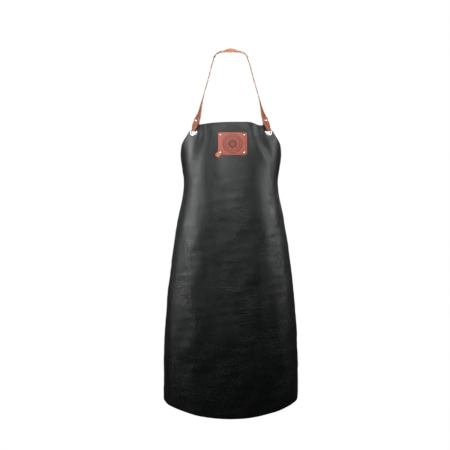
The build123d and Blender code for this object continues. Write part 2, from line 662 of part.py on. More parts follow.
def fold_rivets():
    """Low rivets that hold the fold: heads outwards with posts, and flat caps behind."""
    heads = []
    backs = []
    outer = FOLD_RADIUS + STRAP_THICKNESS / 2 + 0.02
    inner = FOLD_RADIUS - 1.5 * STRAP_THICKNESS - LAYER_CLEARANCE - 0.02
    for x in FOLD_RIVET_X:
        middle = Pos(BUCKLE_X + x, BELT_DEPTH, 0) * Rot(-90, 0, 0)
        head = Pos(0, 0, outer + FOLD_RIVET_HEIGHT / 2) * Cylinder(FOLD_RIVET_RADIUS, FOLD_RIVET_HEIGHT)
        post = Pos(0, 0, (outer + inner) / 2) * Cylinder(1.2, outer - inner)
        heads.append(middle * (head + post))
        back = Pos(0, 0, inner - 0.02 - FOLD_RIVET_HEIGHT / 2) * Cylinder(FOLD_RIVET_RADIUS, FOLD_RIVET_HEIGHT)
        backs.append(middle * back)
    return heads, backs


def write(name, shape):
    """One STEP file for one node."""
    export_step(shape, f"parts/{name}.step")


def main():
    """Build every piece and write it."""
    os.makedirs("parts", exist_ok=True)
    sides = {"left": -1, "right": 1}
    neck_planes = {n: surface_plane(s, NECK_GROMMET_FLAT_X, NECK_GROMMET_DROP) for n, s in sides.items()}
    waist_planes = {n: surface_plane(s, waist_flat_x(), WAIST_DROP) for n, s in sides.items()}
    rivet_planes = [rivet_plane(x, drop) for x, drop, _ in rivet_spots()]
    seats = list(neck_planes.values()) + list(waist_planes.values())
    write("apron_panel", apron_panel(seats, rivet_planes))
    for zone, planes in (("neck", neck_planes), ("waist", waist_planes)):
        for name, plane in planes.items():
            eyelet, washer = grommet_pair(plane)
            write(f"{zone}_grommet_{name}", eyelet)
            write(f"{zone}_washer_{name}", washer)
    patch, tag = patch_and_tag()
    write("name_patch", patch)
    write("corner_tag", tag)
    caps, backs = patch_rivets()
    write("patch_rivet_caps", Compound(children=caps))
    write("patch_rivet_backs", Compound(children=backs))
    write("neck_strap", neck_strap())
    for name, side in sides.items():
        cap, screw = stud_pair(neck_stud_plane(side))
        write(f"neck_stud_{name}", cap)
        write(f"neck_stud_screw_{name}", screw)
    belt = belt_location()
    write("waist_strap_left", belt * waist_strap_left())
    write("waist_strap_right", belt * waist_strap_right())
    for name, side in sides.items():
        cap, screw = stud_pair(waist_loop(side)[2])
        write(f"waist_stud_{name}", belt * cap)
        write(f"waist_stud_screw_{name}", belt * screw)
    write("buckle_frame", belt * buckle_frame())
    write("buckle_prong", belt * buckle_prong())
    write("fixed_keeper", belt * strap_keeper(FIXED_KEEPER_X, FOLD_RADIUS - 1.5 * STRAP_THICKNESS - 0.1))
    write("sliding_keeper", belt * strap_keeper(SLIDING_KEEPER_X, FOLD_RADIUS - STRAP_THICKNESS / 2))
    heads, backs = fold_rivets()
    write("fold_rivet_heads", Compound(children=[belt * head for head in heads]))
    write("fold_rivet_backs", Compound(children=[belt * back for back in backs]))


main()
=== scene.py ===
import json
import math

import bpy
import numpy as np
from bpy.props import FloatProperty, FloatVectorProperty, IntProperty, PointerProperty
from bpy.types import Operator, Panel, PropertyGroup
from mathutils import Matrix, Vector


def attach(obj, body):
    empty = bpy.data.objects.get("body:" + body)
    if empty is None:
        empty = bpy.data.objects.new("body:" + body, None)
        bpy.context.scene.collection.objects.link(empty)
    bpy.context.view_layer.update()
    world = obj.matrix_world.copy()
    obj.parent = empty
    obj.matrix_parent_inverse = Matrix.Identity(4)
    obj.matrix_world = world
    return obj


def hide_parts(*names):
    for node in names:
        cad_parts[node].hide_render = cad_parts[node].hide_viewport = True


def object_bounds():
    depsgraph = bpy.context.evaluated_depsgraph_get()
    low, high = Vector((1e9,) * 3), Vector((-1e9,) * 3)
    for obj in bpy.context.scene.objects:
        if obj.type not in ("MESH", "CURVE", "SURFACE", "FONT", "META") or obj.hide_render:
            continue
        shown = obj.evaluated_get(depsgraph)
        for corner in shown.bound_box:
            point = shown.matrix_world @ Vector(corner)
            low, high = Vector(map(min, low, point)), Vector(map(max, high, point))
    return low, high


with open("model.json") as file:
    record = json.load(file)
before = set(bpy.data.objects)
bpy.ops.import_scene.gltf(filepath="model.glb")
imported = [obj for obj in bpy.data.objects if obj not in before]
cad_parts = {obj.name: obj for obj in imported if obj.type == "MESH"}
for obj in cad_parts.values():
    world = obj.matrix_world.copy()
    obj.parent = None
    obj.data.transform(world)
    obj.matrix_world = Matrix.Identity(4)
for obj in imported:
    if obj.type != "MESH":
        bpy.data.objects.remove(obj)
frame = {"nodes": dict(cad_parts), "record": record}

bl_info = {
    "name": "Leather Bib Apron",
    "version": (1, 0, 0),
    "blender": (4, 5, 0),
    "location": "View3D > Sidebar > Apron",
    "description": "Leather, straps and fittings of a bib apron, built round its fixed frame",
    "category": "Add Mesh",
}

# Metres. The front faces -Y, +X is to the right seen from the front, +Z is up, and the origin
# is the underside of the neck strap at the nape.
FRAME_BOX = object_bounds()
JOINTS = {joint["name"]: joint for joint in frame["record"]["behaviour"]["joints"]}
MM = 0.001
SIDES = {"left": -1, "right": 1}
LAYER_GAP = 0.0001       # between leathers that lie on each other
TOUCH_GAP = 0.00005      # between a layer and the one pressed on it
WING_EDGE_SLOPE = math.radians(10)
LOOP_ROOM = 0.0015       # from the wing's edge to where a waist loop closes
KEEPERS_X = {"fixed_keeper": -0.026, "sliding_keeper": -0.06}      # from the heel bar
KEEPER_GAP = 0.00025
KEEPER_CORNER = 0.0012
FOLD_RIVETS_X = (-0.016, -0.037)      # from the heel bar
FOLD_RIVET_HEIGHT = 0.00042
FLOOR_RADII = (0.5, 1, 2, 4, 8, 16, 40.0)
FLOOR_SIDES = 96


# ---------------------------------------------------------------- sizes and colours

def length_value(name, description, default):
    """A length in metres that a user can change."""
    return FloatProperty(name=name, description=description, default=default, unit="LENGTH", precision=5)


def angle_value(name, description, degrees):
    """An angle that a user can change, given here in degrees."""
    return FloatProperty(name=name, description=description, default=math.radians(degrees), unit="ROTATION")


def power_value(name, description, default):
    """A light's power in watts that a user can change."""
    return FloatProperty(name=name, description=description, default=default, unit="POWER")


def number_value(name, description, default):
    """A plain number that a user can change."""
    return FloatProperty(name=name, description=description, default=default)


def colour_value(name, description, default):
    """A colour that a user can change, in linear light."""
    return FloatVectorProperty(
        name=name, description=description, default=default, subtype="COLOR", size=3, min=0, max=1
    )


class ApronPanelSizes(PropertyGroup):
    """Sizes of the one large sheet of leather."""

    length: length_value("Length", "From the bib's top edge to the hem", 0.865)
    thickness: length_value("Thickness", "Of the leather", 0.002)
    top_drop: length_value("Top edge drop", "From the nape down to the bib's top edge", 0.252)
    bib_depth: length_value("Bib depth", "From the nape forward to the bib's top edge", 0.186)
    body_depth: length_value("Body depth", "From the nape forward to the panel below the waist", 0.212)
    bib_half: length_value("Bib half width", "Of the curve that the bib follows", 0.156)
    chest_half: length_value("Chest half width", "Worn half width at the chest", 0.153)
    waist_half: length_value("Waist half width", "Worn half width at the waist", 0.144)
    hem_half: length_value("Hem half width", "Worn half width at the hem", 0.206)
    chest_drop: length_value("Chest drop", "From the top edge to the chest", 0.085)
    waist_drop: length_value("Waist drop", "From the top edge to the waist grommets", 0.165)
    bib_flat: length_value("Bib half cut", "Half the sheet's cut width at its top edge", 0.117)
    wing_flat: length_value("Wing half cut", "Half the sheet's cut width at the waist", 0.282)
    hem_flat: length_value("Hem half cut", "Half the sheet's cut width at the hem", 0.296)
    squareness: number_value("Squareness", "2 is an ellipse, more is boxier", 2.35)
    toe_in: angle_value("Wing toe-in", "How far the wings turn inwards", 6)
    left_corner: length_value("Left hem corner", "Radius of the hem's left corner", 0.026)
    right_corner: length_value("Right hem corner", "Radius of the hem's right corner", 0.05)
    left_sweep: length_value("Left hem sweep", "Radius of the arc by which the hem rises leftwards", 0.7)
    right_sweep: length_value("Right hem sweep", "Radius of the arc by which it rises rightwards", 0.58)
    shoulder_x: length_value("Shoulder", "From here outwards the top edge slopes down", 0.092)
    fold_depth: number_value("Fold depth", "Scale of the draped folds", 1.0)


class ApronStrapSizes(PropertyGroup):
    """Sizes of the neck strap, the waist straps and their loops."""

    thickness: length_value("Thickness", "Of the strap leather", 0.002)
    width: length_value("Width", "Of every strap", 0.018)
    pinched: length_value("Pinched width", "Where a strap passes through its grommet", 0.012)
    loop_gap: length_value("Loop gap", "Half the room between a loop's two layers", 0.003)
    closed_gap: length_value("Closed gap", "Half the room left between them at the stud", 0.0003)
    neck_slack: length_value("Neck loop slack", "Room over the neck grommet's bore", 0.0006)
    waist_slack: length_value("Waist loop slack", "Room over the waist grommet's bore", 0.0003)
    lean: angle_value("Neck strap lean", "How far the neck strap leans inwards as it rises", 13)
    stud_beyond: length_value("Stud beyond edge", "From the leather's edge to the loop's stud", 0.0095)
    tip_beyond: length_value("Tip beyond stud", "From the stud to the strap's tip", 0.0075)
    tail: length_value("Free tail", "Length of the belt's free end beyond the heel bar", 0.076)
    corner: length_value("Belt corner", "Radius of the belt's turn behind each wing", 0.048)
    tail_lift: length_value("Tail lift", "Height of the free end's middle over the heel bar", 0.0057)
    hole_pitch: length_value("Hole pitch", "Between two belt holes", 0.02)
    hole_radius: length_value("Hole radius", "Of a belt hole", 0.0022)
    keeper_width: length_value("Keeper width", "Of each keeper band", 0.01)
    keeper_thickness: length_value("Keeper thickness", "Of each keeper band", 0.0016)


class ApronFittingSizes(PropertyGroup):
    """Sizes of the metal fittings, the patch and the tag."""

    grommet_hole: length_value("Grommet bore", "Radius of a grommet's bore", 0.008)
    grommet_wall: length_value("Grommet wall", "Of the eyelet's barrel", 0.0006)
    grommet_flange: length_value("Grommet flange", "Radius of the rolled flange", 0.012)
    grommet_crown: length_value("Grommet crown", "Height of the rolled flange", 0.001)
    neck_grommet_x: length_value("Neck grommet", "From the centre line along the leather", 0.114)
    neck_grommet_drop: length_value("Neck grommet drop", "Below the top edge", 0.024)
    waist_inset: length_value("Waist grommet inset", "From the wing's rear edge", 0.02)
    stud_radius: length_value("Stud radius", "Of a stud's cap", 0.0042)
    stud_height: length_value("Stud height", "Of a stud's dome", 0.0018)
    rivet_radius: length_value("Rivet radius", "Of a patch rivet's cap", 0.004)
    rivet_height: length_value("Rivet height", "Of a patch rivet's dome", 0.0018)
    rivet_inset: length_value("Rivet inset", "From the patch's edges", 0.007)
    fold_rivet_radius: length_value("Fold rivet radius", "Of the belt's low rivets", 0.0032)
    patch_width: length_value("Patch width", "Of the name patch", 0.084)
    patch_height: length_value("Patch height", "Of the name patch", 0.067)
    patch_corner: length_value("Patch corner", "Radius of its corners", 0.004)
    patch_x: length_value("Patch centre", "To the right of the centre line", 0.004)
    patch_drop: length_value("Patch drop", "Of its centre below the top edge", 0.062)
    patch_thickness: length_value("Patch thickness", "Of its leather and of the tag's", 0.002)
    tag_size: length_value("Tag size", "Side of the square tag", 0.013)
    tag_neck: length_value("Tag neck", "Width of the tab under its rivet", 0.006)
    tag_reach: length_value("Tag reach", "From the tag's centre to its rivet", 0.009)
    bar_radius: length_value("Buckle bar", "Radius of the buckle's wire", 0.0016)
    buckle_reach: length_value("Buckle reach", "From the heel bar to the front bar", 0.02)
    buckle_half: length_value("Buckle half height", "Of the wire's middle", 0.0118)
    buckle_corner: length_value("Buckle corner", "Radius of the wire's middle", 0.0026)
    fold_radius: length_value("Fold radius", "Of the strap's middle round the heel bar", 0.0029)
    round_steps: IntProperty(name="Round steps", description="Faces round a turned fitting", default=64)


class ApronFinishes(PropertyGroup):
    """Colours of the finishes."""

    black: colour_value("Black leather", "Grain side of the panel", (0.0034, 0.0045, 0.0044))
    black_worn: colour_value("Worn black", "Where the panel's wax has rubbed thin", (0.008, 0.0103, 0.0101))
    black_flesh: colour_value("Black flesh side", "Suede side of the panel", (0.055, 0.058, 0.056))
    black_edge: colour_value("Black cut edge", "Raw edge of the panel", (0.035, 0.034, 0.032))
    strap: colour_value("Strap", "Grain side of the straps", (0.29, 0.085, 0.045))
    strap_dark: colour_value("Dark strap", "Where handling has darkened the straps", (0.19, 0.048, 0.022))
    strap_flesh: colour_value("Strap flesh side", "Inner side of the straps", (0.60, 0.26, 0.12))
    strap_edge: colour_value("Strap cut edge", "Raw edge of the straps", (0.46, 0.22, 0.13))
    patch: colour_value("Patch", "Grain side of the name patch", (0.52, 0.1, 0.052))
    patch_dark: colour_value("Pressed patch", "Bottom of the pressed lines", (0.12, 0.02, 0.009))
    patch_edge: colour_value("Patch cut edge", "Raw edge of the name patch", (0.50, 0.30, 0.2))
    tag: colour_value("Tag", "Grain side of the corner tag", (0.83, 0.23, 0.045))
    tag_edge: colour_value("Tag cut edge", "Raw edge of the corner tag", (0.62, 0.30, 0.14))
    nickel: colour_value("Nickel", "Plated fittings", (0.62, 0.57, 0.51))
    nickel_dull: colour_value("Dull nickel", "Where the plating has dulled", (0.34, 0.30, 0.26))
    floor: colour_value("Floor", "Studio floor", (0.12, 0.12, 0.12))


class ApronStageSizes(PropertyGroup):
    """Camera and lights."""

    camera_x: length_value("Camera offset", "Of the camera to the right of the centre line", -0.018)
    camera_distance: length_value("Camera distance", "From the panel's front", 2.4)
    camera_height: length_value("Camera height", "Above the nape", -0.552)
    lens: number_value("Lens", "Focal length in millimetres on a 36 mm sensor", 66)
    floor_gap: length_value("Floor gap", "From the hem down to the floor", 0.06)
    left_power: power_value("Left softbox", "Power of the left softbox", 4.0)
    right_power: power_value("Right softbox", "Power of the right softbox", 2.6)
    front_power: power_value("Front softbox", "Power of the front softbox", 3.6)
    nape_power: power_value("Nape light", "Power of the light under the nape", 0.4)
    back_power: power_value("Back softbox", "Power of the back softbox", 9)
    ambient: number_value("Room light", "Strength of the room's light from the front", 0.015)
    room_back: number_value("Back light", "Strength of the room's light from behind", 0.16)


# ---------------------------------------------------------------- curves and surfaces

def smooth(rows, place):
    """Cubic Hermite curve through rows of (place, value), its slopes from their neighbours."""
    places = np.array([row[0] for row in rows], float)
    values = np.array([row[1] for row in rows], float)
    slopes = np.gradient(values, places)
    low = np.clip(np.searchsorted(places, place) - 1, 0, len(places) - 2)
    step = places[low + 1] - places[low]
    t = (place - places[low]) / step
    start = values[low] * (2 * t**3 - 3 * t**2 + 1) + slopes[low] * step * (t**3 - 2 * t**2 + t)
    end = values[low + 1] * (3 * t**2 - 2 * t**3) + slopes[low + 1] * step * (t**3 - t**2)
    return start + end


def held(rows, place):
    """The smooth curve through the rows, level before the first and after the last of them."""
    return smooth(rows, np.clip(place, rows[0][0], rows[-1][0]))


def ease(low, high, value):
    """0 below low, 1 above high, and 3t^2 - 2t^3 between them."""
    t = np.clip((value - low) / (high - low), 0, 1)
    return t * t * (3 - 2 * t)


def unit(vector):
    """The vector, or each row of vectors, at length one."""
    return vector / np.linalg.norm(vector, axis=-1, keepdims=True)


def waves(along, across, seed, count, longest, stretch):
    """Sum of sines in seeded directions: `count` waves no longer than `longest`, and
    `stretch` times longer along the first coordinate than along the second."""
    draw = np.random.default_rng(seed)
    total = np.zeros(np.broadcast(along, across).shape)
    for scale in draw.uniform(0.45, 1.0, count):
        turn = draw.uniform(0, 2 * math.pi)
        phase = draw.uniform(0, 2 * math.pi)
        run = along * math.cos(turn) / stretch + across * math.sin(turn)
        total += np.sin(2 * math.pi * run / (scale * longest) + phase)
    return total / math.sqrt(count)


class WornForm:
    """Middle surface of the worn panel.

    Every level is a superellipse quarter to each side, x = half * sin^(2/p) and
    y = front + depth * (1 - cos^(2/p)), and then a straight wing that runs backwards. Levels are
    measured by arc length from the centre line, kept in a table, and read by bilinear steps.
    """

    STEP = 0.001

    def __init__(self, sizes):
        self.sizes = sizes
        self.drops = np.linspace(-0.03, sizes.length + 0.01, 361)
        half = smooth(self.half_width_rows(), self.drops)[:, None]
        depth = smooth(self.wrap_rows(), self.drops)[:, None]
        front = smooth(self.front_rows(), self.drops)[:, None]
        angle = np.linspace(0, math.pi / 2, 300)
        x = half * np.sin(angle) ** (2 / sizes.squareness)
        y = front + depth * (1 - np.cos(angle) ** (2 / sizes.squareness))
        run = np.linspace(0.001, 0.3, 100)
        x = np.hstack([x, x[:, -1:] - run * math.sin(sizes.toe_in)])
        y = np.hstack([y, y[:, -1:] + run * math.cos(sizes.toe_in)])
        steps = np.hypot(np.diff(x), np.diff(y))
        length = np.hstack([np.zeros((len(x), 1)), np.cumsum(steps, axis=1)])
        flats = np.arange(0, 0.34, self.STEP)
        self.x = np.array([np.interp(flats, row, values) for row, values in zip(length, x)])
        self.y = np.array([np.interp(flats, row, values) for row, values in zip(length, y)])

    def below_waist(self, share):
        """Drop at a share of the way from the waist to the hem."""
        s = self.sizes
        return s.waist_drop + share * (s.length - s.waist_drop)

    def half_width_rows(self):
        """Worn half width at each drop."""
        s = self.sizes
        growth = s.hem_half - s.waist_half
        return [
            (0, s.bib_half),
            (s.chest_drop, s.chest_half),
            (s.waist_drop, s.waist_half),
            (self.below_waist(0.2), s.waist_half + 0.35 * growth),
            (self.below_waist(0.45), s.waist_half + 0.74 * growth),
            (self.below_waist(0.7), s.waist_half + 0.96 * growth),
            (s.length, s.hem_half),
        ]

    def wrap_rows(self):
        """Depth of the curved part at each drop."""
        s = self.sizes
        return [
            (0, 0.104),
            (s.chest_drop, 0.112),
            (s.waist_drop, 0.124),
            (self.below_waist(0.45), 0.146),
            (s.length, 0.158),
        ]

    def front_rows(self):
        """Where the panel's front stands at each drop."""
        s = self.sizes
        return [
            (0, -s.bib_depth),
            (s.chest_drop, -0.45 * s.bib_depth - 0.55 * s.body_depth),
            (s.waist_drop, -s.body_depth + 0.004),
            (self.below_waist(0.45), -s.body_depth),
            (s.length, -s.body_depth),
        ]

    def half_cut(self, drop):
        """Half the sheet's cut width at each drop."""
        s = self.sizes
        growth = s.wing_flat - s.bib_flat
        rows = [
            (0, s.bib_flat),
            (0.23 * s.waist_drop, s.bib_flat + 0.2 * growth),
            (0.45 * s.waist_drop, s.bib_flat + 0.455 * growth),
            (0.67 * s.waist_drop, s.bib_flat + 0.745 * growth),
            (s.waist_drop, s.wing_flat),
            (self.below_waist(0.1), s.hem_flat - 0.003),
            (s.length, s.hem_flat),
        ]
        return smooth(rows, drop)

    def read(self, table, along, drop):
        """Bilinear value of a table at a length along the level and a drop."""
        u = np.clip(along / self.STEP, 0, table.shape[1] - 1.001)
        v = np.clip((drop - self.drops[0]) / (self.drops[1] - self.drops[0]), 0, table.shape[0] - 1.001)
        i, j = u.astype(int), v.astype(int)
        fu, fv = u - i, v - j
        low = table[j, i] * (1 - fu) + table[j, i + 1] * fu
        high = table[j + 1, i] * (1 - fu) + table[j + 1, i + 1] * fu
        return low * (1 - fv) + high * fv

    def place(self, flat, drop, lift=0.0):
        """Points at a distance along the leather, a drop and a lift along the level's normal."""
        flat, drop, lift = (np.asarray(values, float) for values in np.broadcast_arrays(flat, drop, lift))
        along = np.abs(flat)
        near = np.maximum(along - self.STEP, 0)
        run_x = self.read(self.x, near + 2 * self.STEP, drop) - self.read(self.x, near, drop)
        run_y = self.read(self.y, near + 2 * self.STEP, drop) - self.read(self.y, near, drop)
        run = np.hypot(run_x, run_y)
        x = self.read(self.x, along, drop) + lift * run_y / run
        y = self.read(self.y, along, drop) - lift * run_x / run
        return np.stack([np.where(flat < 0, -x, x), y, -self.sizes.top_drop - drop], axis=-1)

    def axes(self, side, flat, drop):
        """Middle point, outward normal, rearward tangent and up of one half's surface."""
        step = 2 * MM
        middle = self.place(flat, drop)
        tangent = unit(self.place(flat + step, drop) - self.place(flat - step, drop))
        rise = self.place(flat, drop - step) - self.place(flat, drop + step)
        normal = unit(np.cross(tangent, rise))
        mirror = np.array([side, 1, 1])
        return middle * mirror, normal * mirror, tangent * mirror, np.cross(normal, tangent) * mirror


def rounded_route(points, radii, arc_step=math.radians(6)):
    """Straight runs joined by tangent arcs; an inner point of radius 0 stays a point."""
    points = [np.array(point, float) for point in points]
    route = [points[0]]
    for before, corner, after, radius in zip(points, points[1:], points[2:], radii):
        if radius == 0:
            route.append(corner)
            continue
        into = unit(corner - before)
        out = unit(after - corner)
        turn = math.acos(np.clip(into @ out, -1, 1))
        start = corner - into * radius * math.tan(turn / 2)
        sideways = unit(out - into * math.cos(turn))
        angle = np.linspace(0, turn, max(3, math.ceil(turn / arc_step) + 1))[:, None]
        route.extend(start + radius * (into * np.sin(angle) + sideways * (1 - np.cos(angle))))
    route.append(points[-1])
    return np.array(route)


def lengths_along(points):
    """Distance travelled at each point of a route."""
    return np.append(0, np.cumsum(np.linalg.norm(np.diff(points, axis=0), axis=1)))


def respaced(points, values, spacing):
    """A route and the values on it, read again at even distances."""
    length = lengths_along(points)
    places = np.linspace(0, length[-1], max(3, round(length[-1] / spacing) + 1))
    columns = np.column_stack([points, values])
    read = np.stack([np.interp(places, length, column) for column in columns.T], axis=1)
    return places, read[:, : points.shape[1]], read[:, points.shape[1]:]


def softened(values, passes):
    """Each inner row moved to the mean of itself and its neighbours, `passes` times."""
    values = values.copy()
    for _ in range(passes):
        values[1:-1] = (values[:-2] + 2 * values[1:-1] + values[2:]) / 4
    return values


def headings(points, closed=False):
    """Direction of travel at each point of a route."""
    if closed:
        return unit(np.roll(points, -1, axis=0) - np.roll(points, 1, axis=0))
    return unit(np.gradient(points, axis=0))


# ---------------------------------------------------------------- meshes

def quads(rows, columns, keep=None, closed_rows=False, closed_columns=False):
    """Corner numbers of a grid's faces, which face along (row direction) x (column direction)."""
    down = np.arange(rows if closed_rows else rows - 1)[:, None]
    over = np.arange(columns if closed_columns else columns - 1)[None, :]
    next_down = (down + 1) % rows
    next_over = (over + 1) % columns
    corners = [(down, over), (next_down, over), (next_down, next_over), (down, next_over)]
    faces = np.stack([row * columns + column for row, column in corners], axis=-1)
    return faces[keep] if keep is not None else faces.reshape(-1, 4)


def shown(name, mesh):
    """The mesh, smooth-shaded, as an object of the scene."""
    mesh.polygons.foreach_set("use_smooth", np.ones(len(mesh.polygons), bool))
    mesh.update()
    piece = bpy.data.objects.new(name, mesh)
    bpy.context.collection.objects.link(piece)
    return piece


def put_mesh(name, points, faces, coordinates=None, values=None):
    """A smooth-shaded mesh object from arrays; points that no face uses are left out."""
    used, faces = np.unique(faces, return_inverse=True)
    faces = faces.reshape(-1, 4)
    mesh = bpy.data.meshes.new(name)
    mesh.from_pydata(points.reshape(-1, 3)[used].tolist(), [], faces.tolist())
    if coordinates is not None:
        layer = mesh.uv_layers.new(name="flat")
        layer.data.foreach_set("uv", coordinates.reshape(-1, 2)[used][faces.ravel()].ravel())
    for title, amounts in (values or {}).items():
        attribute = mesh.attributes.new(title, "FLOAT", "POINT")
        attribute.data.foreach_set("value", amounts.ravel()[used].astype(np.float32))
    return shown(name, mesh)


def give_thickness(piece, thickness, bevel, finishes):
    """Leather's thickness about the mesh, with softened cut edges. The finishes are those of the
    grain side, the flesh side and the cut edge."""
    for finish in finishes:
        piece.data.materials.append(finish)
    solid = piece.modifiers.new("Thickness", "SOLIDIFY")
    solid.thickness = thickness
    solid.offset = 0
    solid.use_quality_normals = True
    solid.material_offset = 1
    solid.material_offset_rim = 2
    edge = piece.modifiers.new("Cut edge", "BEVEL")
    edge.width = bevel
    edge.segments = 2
    edge.limit_method = "ANGLE"
    edge.angle_limit = math.radians(55)
    edge.use_clamp_overlap = True


def cut_hole(across, along, keep, centre, radius, core=0.0):
    """Opens a round or long hole in a flat grid.

    The block of faces round the nearest grid point that about fills the hole is left out, and its
    outline moves onto the curve at `radius` from a core line of half length `core`, about evenly
    spaced round a circle. The points round it, out to 3.5 times the block, then settle at the mean of
    their four neighbours.
    """
    row, column = np.unravel_index(
        np.argmin((across - centre[0]) ** 2 + (along - centre[1]) ** 2), across.shape
    )
    wide = abs(across[row, column + 1] - across[row, column - 1]) / 2
    tall = abs(along[row + 1, column] - along[row - 1, column]) / 2
    half_rows = max(2, round((0.8 * radius + core) / tall))
    half_columns = max(2, round(0.8 * radius / wide))
    rows, columns = np.indices(across.shape)
    ring = np.maximum(np.abs(rows - row) / half_rows, np.abs(columns - column) / half_columns)
    off_across = across - across[row, column]
    off_along = along - along[row, column]
    core_along = np.clip(off_along, -core, core)
    outline = np.nonzero(ring == 1)
    turn = np.arctan2((outline[0] - row) / half_rows, (outline[1] - column) / half_columns)
    outline = tuple(index[np.argsort(turn)] for index in outline)
    facing = np.unwrap(np.arctan2((off_along - core_along)[outline], off_across[outline]))
    if core == 0:
        even = np.arange(len(facing)) * 2 * math.pi / len(facing)
        facing = 0.25 * facing + 0.75 * (even + np.mean(facing - even))
    across[outline] = centre[0] + radius * np.cos(facing)
    along[outline] = centre[1] + core_along[outline] + radius * np.sin(facing)
    free = ((ring > 1) & (ring < 3.5))[1:-1, 1:-1]
    for values in (across, along):
        for _ in range(80):
            mean = (values[:-2, 1:-1] + values[2:, 1:-1] + values[1:-1, :-2] + values[1:-1, 2:]) / 4
            values[1:-1, 1:-1] = np.where(free, mean, values[1:-1, 1:-1])
    rows, columns = np.indices(keep.shape)
    inside = (rows >= row - half_rows) & (rows < row + half_rows)
    inside &= (columns >= column - half_columns) & (columns < column + half_columns)
    keep[inside] = False


def turned(name, profile, middle, normal, steps, closed):
    """Profile of (radius, height) points turned about the normal through the middle. A closed
    profile makes a ring; an open one starts and ends on the axis, where fans close it."""
    normal = unit(np.array(normal, float))
    side = unit(np.cross(normal, [0.31, 0.52, 0.79]))
    other = np.cross(normal, side)
    angle = np.linspace(0, 2 * math.pi, steps, endpoint=False)
    profile = np.array(profile, float)
    inner = profile if closed else profile[1:-1]
    around = np.cos(angle)[:, None] * side + np.sin(angle)[:, None] * other
    points = middle + inner[:, None, :1] * around[None] + inner[:, None, 1:] * normal
    points = points.reshape(-1, 3)
    faces = quads(len(inner), steps, closed_rows=closed, closed_columns=True).tolist()
    if not closed:
        ends = [middle + profile[0, 1] * normal, middle + profile[-1, 1] * normal]
        points = np.vstack([points, ends])
        first, last = len(points) - 2, len(points) - 1
        base = (len(inner) - 1) * steps
        here = np.arange(steps)
        after = (here + 1) % steps
        faces += np.stack([np.full(steps, first), here, after], axis=1).tolist()
        faces += np.stack([base + after, base + here, np.full(steps, last)], axis=1).tolist()
    mesh = bpy.data.meshes.new(name)
    mesh.from_pydata(points.tolist(), [], faces)
    return shown(name, mesh)


def joined(name, pieces):
    """Several meshes as one object."""
    with bpy.context.temp_override(active_object=pieces[0], selected_editable_objects=pieces):
        bpy.ops.object.join()
    pieces[0].name = pieces[0].data.name = name
    return pieces[0]


def carried(name, section, route, up, closed, scale=None):
    """Section of (up, sideways) points carried along a route. Sideways is up x travel; a closed
    route joins its ends, an open one is closed by its first and last section drawn to a point."""
    travel = headings(route, closed)
    sideways = unit(np.cross(up, travel))
    upright = np.cross(travel, sideways)
    scale = np.ones(len(route)) if scale is None else scale
    section = np.array(section, float)
    reach = scale[:, None, None] * section[None]
    points = route[:, None] + reach[..., :1] * upright[:, None] + reach[..., 1:] * sideways[:, None]
    if not closed:
        points = np.concatenate([np.repeat(route[:1, None], len(section), 1), points,
                                 np.repeat(route[-1:, None], len(section), 1)])
    faces = quads(len(points), len(section), closed_rows=closed, closed_columns=True)
    piece = put_mesh(name, points, faces)
    if not closed:
        merge = piece.modifiers.new("Closed ends", "WELD")
        merge.merge_threshold = 1e-6
    return piece


def finish_piece(piece, body, slot, *nodes):
    """The piece rides on its body and stands for its nodes, which are hidden; the slot is not used."""
    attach(piece, body)
    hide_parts(*nodes)


# ---------------------------------------------------------------- finishes

def add(tree, kind, inputs=None, **settings):
    """A node with its settings and inputs; an input that is a socket is linked."""
    node = tree.nodes.new(kind)
    for name, value in settings.items():
        setattr(node, name, value)
    for key, value in (inputs or {}).items():
        if isinstance(value, bpy.types.NodeSocket):
            tree.links.new(value, node.inputs[key])
        else:
            node.inputs[key].default_value = value
    return node


def new_finish(name):
    """An empty material, its node tree and its output."""
    finish = bpy.data.materials.get(name) or bpy.data.materials.new(name)
    finish.use_nodes = True
    finish.node_tree.nodes.clear()
    return finish, finish.node_tree


def close_finish(tree, shader):
    """Links the shader to the material's output."""
    output = add(tree, "ShaderNodeOutputMaterial")
    tree.links.new(shader.outputs[0], output.inputs["Surface"])


def mixed(tree, factor, first, second):
    """Colour between two others."""
    mix = add(tree, "ShaderNodeMix", {0: factor, 6: first, 7: second}, data_type="RGBA")
    return mix.outputs[2]


def graded(tree, value, low, high, out_low=0.0, out_high=1.0):
    """A number spread smoothly from one range to another."""
    inputs = {"Value": value, "From Min": low, "From Max": high, "To Min": out_low, "To Max": out_high}
    return add(tree, "ShaderNodeMapRange", inputs, interpolation_type="SMOOTHSTEP").outputs["Result"]


def summed(tree, *weighted):
    """Sum of numbers, each times its weight."""
    total = None
    for socket, weight in weighted:
        inputs = {0: socket, 1: weight, 2: total if total is not None else 0.0}
        total = add(tree, "ShaderNodeMath", inputs, operation="MULTIPLY_ADD").outputs[0]
    return total


def product(tree, first, second):
    """Product of two numbers."""
    return add(tree, "ShaderNodeMath", {0: first, 1: second}, operation="MULTIPLY").outputs[0]


def noise(tree, coordinates, scale, detail=4.0, roughness=0.55, distortion=0.0):
    """Fractal noise, 0 to 1."""
    inputs = {"Vector": coordinates, "Scale": scale, "Detail": detail, "Roughness": roughness,
              "Distortion": distortion}
    return add(tree, "ShaderNodeTexNoise", inputs).outputs["Fac"]


def stretched(tree, coordinates, scale):
    """Coordinates scaled by a different amount each way."""
    return add(tree, "ShaderNodeMapping", {"Vector": coordinates, "Scale": scale}).outputs["Vector"]


def rgba(colour):
    """A colour with full alpha."""
    return (*colour, 1.0)


